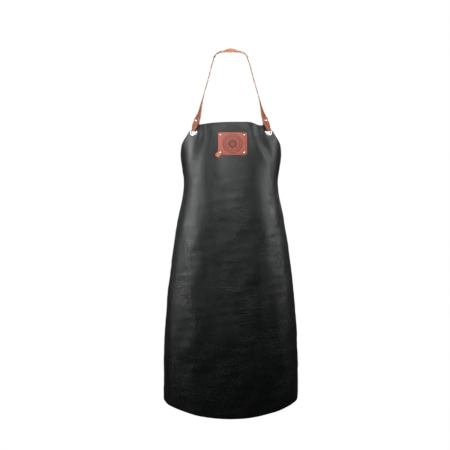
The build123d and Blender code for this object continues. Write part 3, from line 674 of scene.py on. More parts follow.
def grain_leather(name, light, dark, rough=(0.4, 0.56), pores=900.0, creases=0.5, bump=0.35, sheen=0.0,
                  pressed=None, worn_edge=None):
    """Grain side of leather: clouded colour, a pebbled grain of shrunken cells, fine creases that lie
    across the sheet and come and go in patches, and a gloss that varies with them."""
    finish, tree = new_finish(name)
    flat = add(tree, "ShaderNodeUVMap", uv_map="flat").outputs["UV"]
    cloud = noise(tree, flat, 11.0, 5.0, 0.6)
    mottle = noise(tree, flat, 75.0, 4.0, 0.6)
    cells = add(tree, "ShaderNodeTexVoronoi", {"Vector": flat, "Scale": pores, "Randomness": 1.0})
    pebble = graded(tree, cells.outputs["Distance"], 0.05, 0.6)
    fibre = noise(tree, flat, pores * 0.55, 3.0, 0.6)
    crease = noise(tree, stretched(tree, flat, (0.22, 1.0, 1.0)), 210.0, 4.0, 0.62, 0.6)
    crease = graded(tree, crease, 0.38, 0.62)
    patches = graded(tree, noise(tree, flat, 7.0, 3.0), 0.42, 0.64)
    crease_depth = product(tree, crease, patches)
    tone = summed(tree, (cloud, 0.7), (mottle, 0.45), (crease_depth, 0.12 * creases))
    colour = mixed(tree, graded(tree, tone, 0.42, 0.8), rgba(dark), rgba(light))
    if pressed is not None:
        depth = add(tree, "ShaderNodeAttribute", attribute_name="pressed").outputs["Fac"]
        colour = mixed(tree, depth, colour, rgba(pressed))
    if worn_edge is not None:
        rim = add(tree, "ShaderNodeAttribute", attribute_name="rim").outputs["Fac"]
        amount = product(tree, graded(tree, rim, 0.8, 1.0), graded(tree, mottle, 0.35, 0.65, 0.35, 1.0))
        colour = mixed(tree, amount, colour, rgba(worn_edge))
    height = summed(tree, (pebble, -0.5), (fibre, 0.5), (crease_depth, -1.6 * creases), (mottle, 0.5))
    relief = add(tree, "ShaderNodeBump", {"Height": height, "Strength": bump, "Distance": 0.0007})
    gloss = graded(tree, summed(tree, (mottle, 0.5), (cloud, 0.5)), 0.35, 0.68, rough[0], rough[1])
    shader = add(tree, "ShaderNodeBsdfPrincipled", {
        "Base Color": colour, "Roughness": gloss, "Normal": relief.outputs["Normal"],
        "Specular IOR Level": 0.5, "Sheen Weight": sheen, "Sheen Roughness": 0.45,
    })
    close_finish(tree, shader)
    return finish


def flesh_leather(name, light, dark, bump=0.9, ends=None):
    """Flesh side of leather: matt, with short fibres that lie in all directions. `ends` is the colour
    that the side takes where the attribute "dyed" is 1."""
    finish, tree = new_finish(name)
    flat = add(tree, "ShaderNodeUVMap", uv_map="flat").outputs["UV"]
    cloud = noise(tree, flat, 24.0, 5.0, 0.65)
    nap = noise(tree, flat, 620.0, 5.0, 0.75, 0.8)
    strands = noise(tree, stretched(tree, flat, (1.0, 0.35, 1.0)), 900.0, 3.0, 0.7, 1.5)
    tone = summed(tree, (cloud, 0.6), (nap, 0.4))
    colour = mixed(tree, graded(tree, tone, 0.36, 0.66), rgba(dark), rgba(light))
    if ends is not None:
        dyed = add(tree, "ShaderNodeAttribute", attribute_name="dyed").outputs["Fac"]
        colour = mixed(tree, dyed, colour, rgba(ends))
    height = summed(tree, (nap, 0.6), (strands, 0.6))
    relief = add(tree, "ShaderNodeBump", {"Height": height, "Strength": bump, "Distance": 0.0006})
    shader = add(tree, "ShaderNodeBsdfPrincipled", {
        "Base Color": colour, "Roughness": 0.86, "Normal": relief.outputs["Normal"],
        "Specular IOR Level": 0.3, "Sheen Weight": 0.25, "Sheen Roughness": 0.6,
    })
    close_finish(tree, shader)
    return finish


def edge_leather(name, light, dark):
    """Raw cut edge: layered fibres that run along the cut, half burnished."""
    finish, tree = new_finish(name)
    place = add(tree, "ShaderNodeTexCoord").outputs["Object"]
    layers = noise(tree, place, 1500.0, 4.0, 0.7, 0.5)
    patches = noise(tree, place, 130.0, 3.0, 0.6)
    colour = mixed(tree, graded(tree, summed(tree, (layers, 0.6), (patches, 0.4)), 0.35, 0.65),
                   rgba(dark), rgba(light))
    relief = add(tree, "ShaderNodeBump", {"Height": layers, "Strength": 0.7, "Distance": 0.0004})
    shader = add(tree, "ShaderNodeBsdfPrincipled", {
        "Base Color": colour, "Roughness": graded(tree, patches, 0.4, 0.6, 0.5, 0.75),
        "Normal": relief.outputs["Normal"],
    })
    close_finish(tree, shader)
    return finish


def plated_metal(name, bright, dull):
    """Nickel plate: bright, with hairline scratches, faint dents and dulled patches."""
    finish, tree = new_finish(name)
    place = add(tree, "ShaderNodeTexCoord").outputs["Object"]
    tarnish = noise(tree, place, 260.0, 5.0, 0.65)
    hairs = noise(tree, stretched(tree, place, (1.0, 0.12, 0.5)), 5200.0, 2.0, 0.6, 0.4)
    dents = noise(tree, place, 420.0, 2.0, 0.5)
    colour = mixed(tree, graded(tree, tarnish, 0.45, 0.72), rgba(bright), rgba(dull))
    height = summed(tree, (hairs, 0.12), (dents, 0.6))
    relief = add(tree, "ShaderNodeBump", {"Height": height, "Strength": 0.25, "Distance": 0.0004})
    gloss = graded(tree, summed(tree, (tarnish, 0.7), (hairs, 0.3)), 0.35, 0.7, 0.14, 0.36)
    shader = add(tree, "ShaderNodeBsdfPrincipled", {
        "Base Color": colour, "Metallic": 1.0, "Roughness": gloss, "Normal": relief.outputs["Normal"],
    })
    close_finish(tree, shader)
    return finish


def panel_finishes(c):
    """Grain side, flesh side and cut edge of the panel."""
    return (
        grain_leather("black_grain", c.black_worn, c.black, creases=0.6, bump=0.42),
        flesh_leather("black_flesh", c.black_flesh, tuple(v * 0.55 for v in c.black_flesh)),
        edge_leather("black_edge", c.black_edge, c.black),
    )


def strap_finishes(c):
    """Grain side, flesh side and cut edge of the straps."""
    return (
        grain_leather("strap_grain", c.strap, c.strap_dark, rough=(0.42, 0.56), creases=0.5, bump=0.22,
                      worn_edge=c.strap_edge),
        flesh_leather("strap_flesh", c.strap_flesh, tuple(v * 0.7 for v in c.strap_flesh), ends=c.strap),
        edge_leather("strap_edge", c.strap_edge, c.strap_dark),
    )


def nickel_finish(c):
    """Finish of every plated fitting."""
    return plated_metal("nickel_plate", c.nickel, c.nickel_dull)


def plate_nodes(nickel, *names):
    """Gives the nickel finish to frame nodes that are shown as they are."""
    for name in names:
        for slot in frame["nodes"][name].material_slots:
            slot.material = nickel


# ---------------------------------------------------------------- where things are

def neck_loop_axes(form, straps, fittings, side):
    """Bend's middle, outward normal, along and across directions of one neck loop."""
    middle, normal, tangent, up = form.axes(side, fittings.neck_grommet_x, fittings.neck_grommet_drop)
    along = up * math.cos(straps.lean) - tangent * math.sin(straps.lean)
    across = tangent * math.cos(straps.lean) + up * math.sin(straps.lean)
    seat = loop_seat(form, straps, fittings, straps.neck_slack)
    return middle + along * seat, normal, along, across


def loop_seat(form, straps, fittings, slack):
    """From a grommet's centre to the middle of the strap's bend, which hangs on its rim."""
    rim = math.sqrt((fittings.grommet_hole - slack) ** 2 - (straps.pinched / 2) ** 2)
    stand = form.sizes.thickness / 2 + fittings.grommet_crown
    return rim + math.sqrt(straps.loop_gap**2 - stand**2)


def neck_loop_edge(form, straps, fittings):
    """From the neck loop's bend to the bib's sloping top edge, along the strap's longer side."""
    bend, _, along, across = neck_loop_axes(form, straps, fittings, 1)
    slope = math.tan(straps.lean)
    reaches = []
    for offset in (-straps.width / 2, straps.width / 2):
        start = bend + across * offset
        gap = -form.sizes.top_drop - slope * (start[0] - form.sizes.shoulder_x) - start[2]
        reaches.append(gap / (along[2] + slope * along[0]))
    return max(reaches)


def loop_lengths(straps, edge, opening):
    """Along a loop from its bend: where its layers stop being parallel, the stud, the tip."""
    stud = edge + opening + straps.stud_beyond
    return edge + opening + 0.0008, stud, stud + straps.tip_beyond


def loop_route(straps, fittings, edge, opening):
    """The loop seen along its width, as (outwards, along) points, from its tip to its exit."""
    parallel, stud, tip = loop_lengths(straps, edge, opening)
    wide = straps.loop_gap + straps.thickness / 2
    narrow = straps.closed_gap + straps.thickness / 2
    closed = stud - fittings.stud_radius - 0.0005
    points = [
        (narrow, tip),
        (narrow, closed),
        (wide, parallel),
        (wide, straps.pinched / 2),
        (wide, -wide),
        (-wide, -wide),
        (-wide, straps.pinched / 2),
        (-wide, parallel),
        (-narrow, closed),
        (-narrow, tip),
    ]
    return rounded_route(points, [2 * MM, 2 * MM, 0, wide, wide, 0, 2 * MM, 2 * MM])


def loop_widths(straps, route):
    """Width along a loop: the strap draws in as it passes through its grommet."""
    return straps.pinched + (straps.width - straps.pinched) * ease(0.0005, 0.0065, route[:, 1])


def waist_flat(form, fittings):
    """Distance of the waist grommets from the centre line, along the leather."""
    return form.sizes.wing_flat - fittings.waist_inset


def belt_axes():
    """A point of the belt's hinge line, and the x, y and z directions of the belt's plane."""
    middle = np.array(JOINTS["belt_lift"]["pos_m"], float)
    upright = unit(np.array(JOINTS["prong_lift"]["axis"], float))
    return middle, np.array([[1.0, 0, 0], [0, upright[2], -upright[1]], upright])


def in_belt(points):
    """Points of the belt's plane in the apron's frame."""
    middle, axes = belt_axes()
    return middle * np.array([0, 1, 1]) + points @ axes


def heel_bar():
    """The heel bar's x, and its depth behind the hinge line, in the belt's plane."""
    middle, axes = belt_axes()
    offset = np.array(JOINTS["prong_lift"]["pos_m"], float) - middle * np.array([0, 1, 1])
    return offset[0], offset @ axes[1]


def waist_loop(form, straps, fittings, side):
    """Points of one waist loop in the belt's plane, its widths, its stud and its outwards direction."""
    middle, normal, tangent, _ = form.axes(side, waist_flat(form, fittings), form.sizes.waist_drop)
    outwards = unit(normal[:2])
    along = unit(tangent[:2])
    seat = loop_seat(form, straps, fittings, straps.waist_slack)
    bend = np.array([middle[0], 0.0]) + along * seat
    _, axes = belt_axes()
    droop = math.acos(axes[2][2])
    opening = straps.width / 2 * math.tan(droop + WING_EDGE_SLOPE) + LOOP_ROOM
    opening += fittings.waist_inset * (1 / math.cos(droop) - 1)
    edge = fittings.waist_inset - seat
    route = loop_route(straps, fittings, edge, opening)
    points = bend + route[:, :1] * outwards + route[:, 1:] * along
    stud = bend + along * loop_lengths(straps, edge, opening)[1]
    return points, loop_widths(straps, route), np.append(stud, 0), np.append(outwards, 0)


def rivet_spots(fittings):
    """Each patch rivet's x, drop and whether it also holds the tag."""
    across = fittings.patch_width / 2 - fittings.rivet_inset
    down = fittings.patch_height / 2 - fittings.rivet_inset
    return [
        (fittings.patch_x + sx * across, fittings.patch_drop + sz * down, sx < 0 < sz)
        for sx in (-1, 1)
        for sz in (-1, 1)
    ]


# ---------------------------------------------------------------- the panel

def ridge(flat, drop, line, width, height):
    """A fold of Gaussian section: its crest's place, width and height are smooth curves of the drop,
    and it is outwards where the height is positive."""
    offset = (flat - held(line, drop)) / held(width, drop)
    return held(height, drop) * np.exp(-offset**2)


def draped(sizes, fittings, flat, drop):
    """How far the leather stands off its plain worn form.

    Troughs run from under the neck grommets down to the chest, a valley in front of each wing marks
    where the belt draws it back, and long soft waves cross the skirt. All of it fades out at the
    patch and round the grommets.
    """
    lift = ridge(flat, drop, [(0, 0.084), (0.03, 0.083), (0.08, 0.108), (0.12, 0.13), (0.17, 0.14)],
                 [(0, 0.013), (0.08, 0.016), (0.17, 0.018)],
                 [(0, -0.006), (0.03, -0.0065), (0.08, -0.0048), (0.12, -0.002), (0.17, 0)])
    lift += ridge(flat, drop, [(0, 0.052), (0.06, 0.076), (0.12, 0.118)],
                  [(0, 0.02), (0.12, 0.02)], [(0, 0.003), (0.06, 0.003), (0.12, 0.0012), (0.16, 0)])
    lift += ridge(flat, drop, [(0, -0.088), (0.04, -0.084), (0.08, -0.096), (0.15, -0.118)],
                  [(0, 0.015), (0.15, 0.02)],
                  [(0, -0.0025), (0.04, -0.0038), (0.08, -0.003), (0.15, 0)])
    for side in (-1, 1):
        lift += ridge(side * flat, drop, [(0.06, 0.172), (0.14, 0.189), (0.3, 0.2)],
                      [(0.06, 0.018), (0.14, 0.021), (0.3, 0.03)],
                      [(0.06, 0), (0.1, -0.006), (0.14, -0.0105), (0.2, -0.0065), (0.32, -0.001), (0.45, 0)])
        lift += ridge(side * flat, drop, [(0.06, 0.215), (0.14, 0.236), (0.3, 0.25)],
                      [(0.06, 0.016), (0.14, 0.016), (0.3, 0.03)],
                      [(0.08, 0), (0.13, 0.003), (0.2, 0.002), (0.3, 0)])
    lift += ridge(flat, drop, [(0.3, 0.16), (0.6, 0.118), (0.865, 0.105)],
                  [(0.3, 0.03), (0.865, 0.05)], [(0.25, 0), (0.42, -0.0035), (0.7, -0.004), (0.865, -0.003)])
    lift += ridge(flat, drop, [(0.3, -0.17), (0.865, -0.15)],
                  [(0.3, 0.03), (0.865, 0.035)], [(0.3, 0), (0.5, -0.003), (0.865, -0.004)])
    lift += 0.0007 * waves(flat, drop, 3, 7, 0.16, 0.6) * ease(0.05, 0.3, drop)
    lift += 0.00022 * waves(flat, drop, 8, 9, 0.045, 2.6) * ease(0.05, 0.2, drop)
    lift *= sizes.fold_depth
    calm = np.ones_like(lift)
    for side in (-1, 1):
        neck = np.hypot(side * flat - fittings.neck_grommet_x, drop - fittings.neck_grommet_drop)
        waist = np.hypot(side * flat - (sizes.wing_flat - fittings.waist_inset), drop - sizes.waist_drop)
        calm *= ease(0.014, 0.03, neck) * ease(0.014, 0.04, waist)
    beyond_x = np.maximum(np.abs(flat - fittings.patch_x) - fittings.patch_width / 2, 0)
    beyond_z = np.maximum(np.abs(drop - fittings.patch_drop) - fittings.patch_height / 2, 0)
    calm *= ease(0.0, 0.02, np.hypot(beyond_x, beyond_z))
    return lift * calm


def top_edge(flat):
    """How far the bib's cut edge lies below its corner height: a shallow arch, lower by the straps."""
    return held([(-0.117, 0.008), (-0.098, 0.0035), (-0.068, 0.0), (-0.022, -0.0028), (0.03, -0.0034),
                 (0.055, -0.0028), (0.072, 0.0014), (0.088, 0.0052), (0.102, 0.0042), (0.117, 0.0075)], flat)


def hem_rise(form, flat):
    """How far the hem is cut away to each side: r - sqrt(r^2 - x^2) at the worn width x."""
    sizes = form.sizes
    x = form.place(flat, sizes.length)[..., 0]
    sweep = np.where(x < 0, sizes.left_sweep, sizes.right_sweep)
    return sweep - np.sqrt(sweep**2 - x**2)


def panel_grid(form, fittings):
    """Flat coordinates of the panel's grid, and which of its faces are leather.

    Rows are levels, closer together on the bib. A column keeps its share of each level's cut width,
    so the grid follows the armholes; the last rows shorten as the hem's round corners do.
    """
    sizes = form.sizes
    levels = np.concatenate([
        np.linspace(0, 0.2, 71)[:-1],
        np.linspace(0.2, sizes.length - 0.055, 132)[:-1],
        np.linspace(sizes.length - 0.055, sizes.length - 0.004, 15)[:-1],
        sizes.length - 0.004 * np.cos(np.linspace(0, math.pi / 2, 6)),
    ])
    share = np.linspace(-1, 1, 157)
    share = share - 0.03 * np.sin(2 * math.pi * share) / math.pi
    drop = np.repeat(levels[:, None], len(share), 1)
    corner = np.where(share < 0, sizes.left_corner, sizes.right_corner)
    into = np.clip(drop - (sizes.length - corner), 0, corner)
    half = form.half_cut(drop) - corner + np.sqrt(corner**2 - into**2)
    flat = share * half
    drop = drop + top_edge(flat) * (1 - ease(0, 0.06, drop))
    skirt = 0.25
    drop = drop - hem_rise(form, flat) * np.clip((drop - sizes.length + skirt) / skirt, 0, 1)
    keep = np.ones((len(levels) - 1, len(share) - 1), bool)
    bore = fittings.grommet_hole + fittings.grommet_wall + 0.0001
    for side in (-1, 1):
        for centre in (
            (side * fittings.neck_grommet_x, fittings.neck_grommet_drop),
            (side * waist_flat(form, fittings), sizes.waist_drop),
        ):
            cut_hole(flat, drop, keep, centre, bore)
    return flat, drop, keep


def pressed_flat(form, fittings, flat, drop, points):
    """The leather round each grommet drawn onto the plane that its flange seats on."""
    seats = [(fittings.neck_grommet_x, fittings.neck_grommet_drop)]
    seats.append((waist_flat(form, fittings), form.sizes.waist_drop))
    for side in (-1, 1):
        for seat_flat, seat_drop in seats:
            middle, normal, _, _ = form.axes(side, seat_flat, seat_drop)
            away = np.hypot(side * flat - seat_flat, drop - seat_drop)
            share = 1 - ease(0.0128, 0.026, away)
            off = (points - middle) @ normal
            points = points - (share * off)[..., None] * normal
    return points


class APRON_OT_panel(Operator):
    """Build the leather panel with its drape, grommet holes and cut edge"""

    bl_idname = "apron.panel"
    bl_label = "Panel"

    def execute(self, context):
        sizes, fittings = context.scene.apron_panel, context.scene.apron_fittings
        form = WornForm(sizes)
        flat, drop, keep = panel_grid(form, fittings)
        points = form.place(flat, drop, draped(sizes, fittings, flat, drop))
        points = pressed_flat(form, fittings, flat, drop, points)
        coordinates = np.stack([flat, -drop], axis=-1)
        piece = put_mesh("panel_leather", points, quads(*flat.shape, keep), coordinates)
        give_thickness(piece, sizes.thickness, 0.00035, panel_finishes(context.scene.apron_finishes))
        finish_piece(piece, "apron", "black_leather", "apron_panel")
        return {"FINISHED"}


# ---------------------------------------------------------------- patch and tag

def ring_line(radius, at, width):
    """1 on a circle's line, falling to 0 at half the width away."""
    return 1 - ease(0.25 * width, 0.5 * width, np.abs(radius - at))


def emblem(x, z):
    """Pressed pattern: a sunk band of raised dots between two rings, round an eight-petalled rosette."""
    radius = np.hypot(x, z)
    angle = np.arctan2(z, x)
    depth = np.maximum(ring_line(radius, 0.0285, 0.0017), ring_line(radius, 0.0195, 0.0017))
    dots = 28
    step = 2 * math.pi / dots
    off = (angle + step / 2) % step - step / 2
    dot = np.hypot(radius * np.cos(off) - 0.024, radius * np.sin(off))
    band = ease(0.0195, 0.02, radius) * (1 - ease(0.028, 0.0285, radius))
    depth = np.maximum(depth, 0.55 * band * ease(0.0012, 0.002, dot))
    petals = 8
    turn = (angle + math.pi / petals) % (2 * math.pi / petals) - math.pi / petals
    along = radius * np.cos(turn)
    across = np.abs(radius * np.sin(turn))
    half = 0.0046 * np.sin(math.pi * np.clip((along - 0.0028) / 0.0142, 0, 1)) ** 0.8
    inside = ease(-0.0004, 0.0004, half - across) * ease(0.0026, 0.0032, along)
    vein = 1 - ease(0.0003, 0.0007, across)
    depth = np.maximum(depth, inside * (1 - 0.75 * vein))
    return np.maximum(depth, 1 - ease(0.0012, 0.0018, radius))


def rivet_dishes(fittings, x, z):
    """How far the patch is drawn in round its rivets."""
    total = 0
    for spot_x, spot_drop, _ in rivet_spots(fittings):
        away = (x + fittings.patch_x - spot_x) ** 2 + (z - (spot_drop - fittings.patch_drop)) ** 2
        total = total + 0.0003 * np.exp(-(away / 0.0055**2))
    return total


class APRON_OT_name_patch(Operator):
    """Build the name patch with its pressed pattern, in relief"""

    bl_idname = "apron.name_patch"
    bl_label = "Name patch"

    def execute(self, context):
        sizes, fittings = context.scene.apron_panel, context.scene.apron_fittings
        colours = context.scene.apron_finishes
        form = WornForm(sizes)
        corner = fittings.patch_corner
        half_w, half_h = fittings.patch_width / 2, fittings.patch_height / 2
        round_rows = half_h - corner + corner * np.sin(np.linspace(0, math.pi / 2, 9)[1:])
        middle_rows = np.linspace(-(half_h - corner), half_h - corner, 126)
        z = np.concatenate([-round_rows[::-1], middle_rows, round_rows])[:, None]
        share = np.linspace(-1, 1, 175)[None]
        into = np.clip(np.abs(z) - (half_h - corner), 0, corner)
        x = share * (half_w - corner + np.sqrt(corner**2 - into**2))
        z = np.repeat(z, share.shape[1], 1)
        depth = emblem(x, z)
        near_edge = np.minimum(half_w - np.abs(x), half_h - np.abs(z))
        roll = 0.00035 * (1 - ease(0, 0.0022, near_edge))
        dish = rivet_dishes(fittings, x, z)
        sag = 0.00012 * waves(x, z, 5, 6, 0.03, 1.0)
        lift = sizes.thickness / 2 + LAYER_GAP + fittings.patch_thickness / 2
        lift = lift - 0.00042 * depth - roll - dish + sag
        points = form.place(x + fittings.patch_x, z + fittings.patch_drop, lift)
        values = {"pressed": depth, "rim": 1 - np.clip(near_edge / 0.004, 0, 1)}
        piece = put_mesh("name_patch_leather", points, quads(*x.shape), np.stack([x, -z], axis=-1), values)
        finishes = (
            grain_leather("patch_grain", colours.patch, tuple(v * 0.72 for v in colours.patch),
                          rough=(0.42, 0.55), creases=0.25, bump=0.25, pressed=colours.patch_dark,
                          worn_edge=colours.patch_edge),
            flesh_leather("patch_flesh", colours.patch_edge, tuple(v * 0.6 for v in colours.patch_edge)),
            edge_leather("patch_edge", colours.patch_edge, tuple(v * 0.45 for v in colours.patch_edge)),
        )
        give_thickness(piece, fittings.patch_thickness - LAYER_GAP, 0.00028, finishes)
        finish_piece(piece, "apron", "patch_leather", "name_patch")
        return {"FINISHED"}


class APRON_OT_corner_tag(Operator):
    """Build the small square tag that one patch rivet holds"""

    bl_idname = "apron.corner_tag"
    bl_label = "Corner tag"

    def execute(self, context):
        sizes, fittings = context.scene.apron_panel, context.scene.apron_fittings
        colours = context.scene.apron_finishes
        form = WornForm(sizes)
        half, neck = fittings.tag_size / 2, fittings.tag_neck / 2
        start = -fittings.tag_reach - half
        shoulder = -fittings.tag_reach + half
        corner = 0.0009
        body = np.linspace(start + corner, shoulder - corner, 26)
        curve = corner * (1 - np.cos(np.linspace(0, math.pi / 2, 6)))
        bend = [(c, half - corner + math.sqrt(max(corner**2 - (corner - c) ** 2, 0))) for c in curve]
        rows = [(start + c, reach) for c, reach in bend[:-1]]
        rows += [(place, half) for place in body]
        rows += [(shoulder - c, reach) for c, reach in bend[::-1][1:]]
        rows += [(place, neck) for place in np.linspace(shoulder + 0.0001, 0, 8)]
        rows += [(neck * math.sin(a), neck * math.cos(a)) for a in np.linspace(0, math.pi / 2 - 0.12, 9)[1:]]
        along = np.array([row[0] for row in rows])[:, None]
        width = np.array([row[1] for row in rows])[:, None]
        across = np.linspace(-1, 1, 27)[None] * width
        along = np.repeat(along, across.shape[1], 1)
        # The tag points down and to the left of its rivet
        tilt = math.radians(45)
        rivet_x, rivet_drop, _ = [spot for spot in rivet_spots(fittings) if spot[2]][0]
        x = rivet_x + along * math.cos(tilt) - across * math.sin(tilt)
        drop = rivet_drop - (along * math.sin(tilt) + across * math.cos(tilt))
        lift = sizes.thickness / 2 + LAYER_GAP + fittings.patch_thickness * 1.5 + TOUCH_GAP
        lift = lift + 0.00008 * waves(along, across, 12, 5, 0.012, 1.0)
        points = form.place(x, drop, lift)
        coordinates = np.stack([across, along], axis=-1)
        piece = put_mesh("corner_tag_leather", points, quads(*x.shape), coordinates)
        finishes = (
            grain_leather("tag_grain", colours.tag, tuple(v * 0.8 for v in colours.tag),
                          rough=(0.4, 0.5), pores=1400.0, creases=0.2, bump=0.3),
            flesh_leather("tag_flesh", colours.tag_edge, tuple(v * 0.6 for v in colours.tag_edge)),
            edge_leather("tag_edge", colours.tag_edge, tuple(v * 0.5 for v in colours.tag_edge)),
        )
        give_thickness(piece, fittings.patch_thickness - LAYER_GAP, 0.00025, finishes)
        finish_piece(piece, "apron", "tag_leather", "corner_tag")
        return {"FINISHED"}


# ---------------------------------------------------------------- straps

def strap_piece(name, route, across, widths, straps, finishes, holes=(), dyed=None, columns=13,
                spacing=0.0013):
    """A strap of leather along a route.

    Its middle surface is route + share * width / 2 * across, lifted by a shallow crown and a slight
    wander of the cut edges. Holes are (distance along, radius, half length of the core) rows.
    """
    places, route, values = respaced(route, np.column_stack([across, widths]), spacing)
    across = unit(values[:, :3])
    widths = softened(values[:, 3:], 3)[:, 0]
    share = np.linspace(-1, 1, columns)
    offset = share[None] * widths[:, None] / 2
    along = np.repeat(places[:, None], columns, 1)
    keep = np.ones((len(places) - 1, columns - 1), bool)
    for place, radius, core in holes:
        cut_hole(offset, along, keep, (0.0, place), radius, core)
    middle = np.stack([np.interp(along, places, route[:, k]) for k in range(3)], axis=-1)
    out = np.stack([np.interp(along, places, across[:, k]) for k in range(3)], axis=-1)
    facing = unit(np.cross(headings(route), across))
    facing = np.stack([np.interp(along, places, facing[:, k]) for k in range(3)], axis=-1)
    edge = np.abs(share)[None]
    crown = -0.00016 * edge**4 + 0.00006 * waves(along, offset, 21, 5, 0.05, 1.0)
    wander = 0.00005 * np.sign(share)[None] * edge**6 * waves(along, offset * 0, 33, 5, 0.07, 1.0)
    points = middle + (offset + wander)[..., None] * out + crown[..., None] * facing
    values = {"rim": np.repeat(edge, len(places), 0)}
    values["dyed"] = np.repeat((np.ones(len(places)) if dyed is None else dyed(places))[:, None], columns, 1)
    coordinates = np.stack([offset, along], axis=-1)
    piece = put_mesh(name, points, quads(*along.shape, keep), coordinates, values)
    give_thickness(piece, straps.thickness, 0.0003, finishes)
    return piece


class APRON_OT_neck_strap(Operator):
    """Build the neck strap, looped through both neck grommets and running over the nape"""

    bl_idname = "apron.neck_strap"
    bl_label = "Neck strap"

    def execute(self, context):
        scene = context.scene
        straps, fittings = scene.apron_straps, scene.apron_fittings
        form = WornForm(scene.apron_panel)
        bend, normal, along, across = neck_loop_axes(form, straps, fittings, 1)
        route = loop_route(straps, fittings, neck_loop_edge(form, straps, fittings), 0)
        loop = bend + route[:, :1] * normal + route[:, 1:] * along
        rise = straps.thickness / 2 * np.array([0.0, 0.44, 0.9])
        # Shoulder, side of the neck and nape, each with the way that the grain side faces
        stops = [
            (loop[-1], normal),
            (loop[-1] + np.array([-0.0036, 0.005, 0.014]), (0.74, -0.66, 0.1)),
            ((0.088, -0.138, -0.185), (0.93, -0.3, 0.15)),
            ((0.0695, -0.092, -0.107), (0.99, -0.05, 0.2)),
            ((0.053, -0.044, -0.037), (0.93, -0.07, 0.35)),
            ((0.043, -0.016, -0.012), (0.62, -0.14, 0.76)),
            ((0.023, -0.0025, -0.003), (0.2, 0.1, 0.97)),
            (rise, (0.0, 0.44, 0.9)),
            ((-0.023, -0.0025, -0.003), (-0.2, 0.1, 0.97)),
        ]
        places = np.array([stop[0] for stop in stops], float)
        facing = np.array([stop[1] for stop in stops], float)
        length = lengths_along(places)
        samples = np.linspace(0, length[-2], 200)[1:]
        curve = np.stack([smooth(list(zip(length, places[:, k])), samples) for k in range(3)], axis=1)
        faces = np.stack([smooth(list(zip(length, facing[:, k])), samples) for k in range(3)], axis=1)
        mirror = np.array([-1, 1, 1])
        whole = np.vstack([loop, curve, curve[-2::-1] * mirror, loop[::-1] * mirror])
        outward = np.vstack([np.tile(normal, (len(loop), 1)), faces])
        outward = np.vstack([outward, outward[-2::-1] * mirror])
        sideways = np.cross(outward, headings(whole))
        count = len(loop)
        sideways[:count] = -across
        sideways[-count:] = -across * mirror
        sideways = unit(sideways)
        widths = loop_widths(straps, route)
        run = np.full(len(whole) - 2 * count, straps.width)
        widths = np.concatenate([widths, run, widths[::-1]])
        total = lengths_along(whole)[-1]

        def dyed(distance):
            return 1 - ease(0.1, 0.2, np.minimum(distance, total - distance))

        piece = strap_piece("neck_strap_leather", whole, sideways, widths, straps,
                            strap_finishes(scene.apron_finishes), dyed=dyed)
        finish_piece(piece, "neck_strap", "strap_leather", "neck_strap")
        return {"FINISHED"}


def belt_piece(name, straps, loop, widths, rest, radii, finishes, find_holes):
    """A waist strap: its loop, then the rest of its route, all in the belt's plane.

    `find_holes` takes the route and its distances and gives the holes.
    """
    tail = rounded_route([loop[-1]] + rest, radii)[1:]
    flat = np.vstack([loop, tail])
    points = np.column_stack([flat, np.zeros(len(flat))])
    widths = np.concatenate([widths, np.full(len(tail), straps.width)])
    _, axes = belt_axes()
    across = np.tile(axes[2], (len(points), 1))
    holes = find_holes(flat, lengths_along(points))
    return strap_piece(name, in_belt(points), across, widths, straps, finishes, holes)


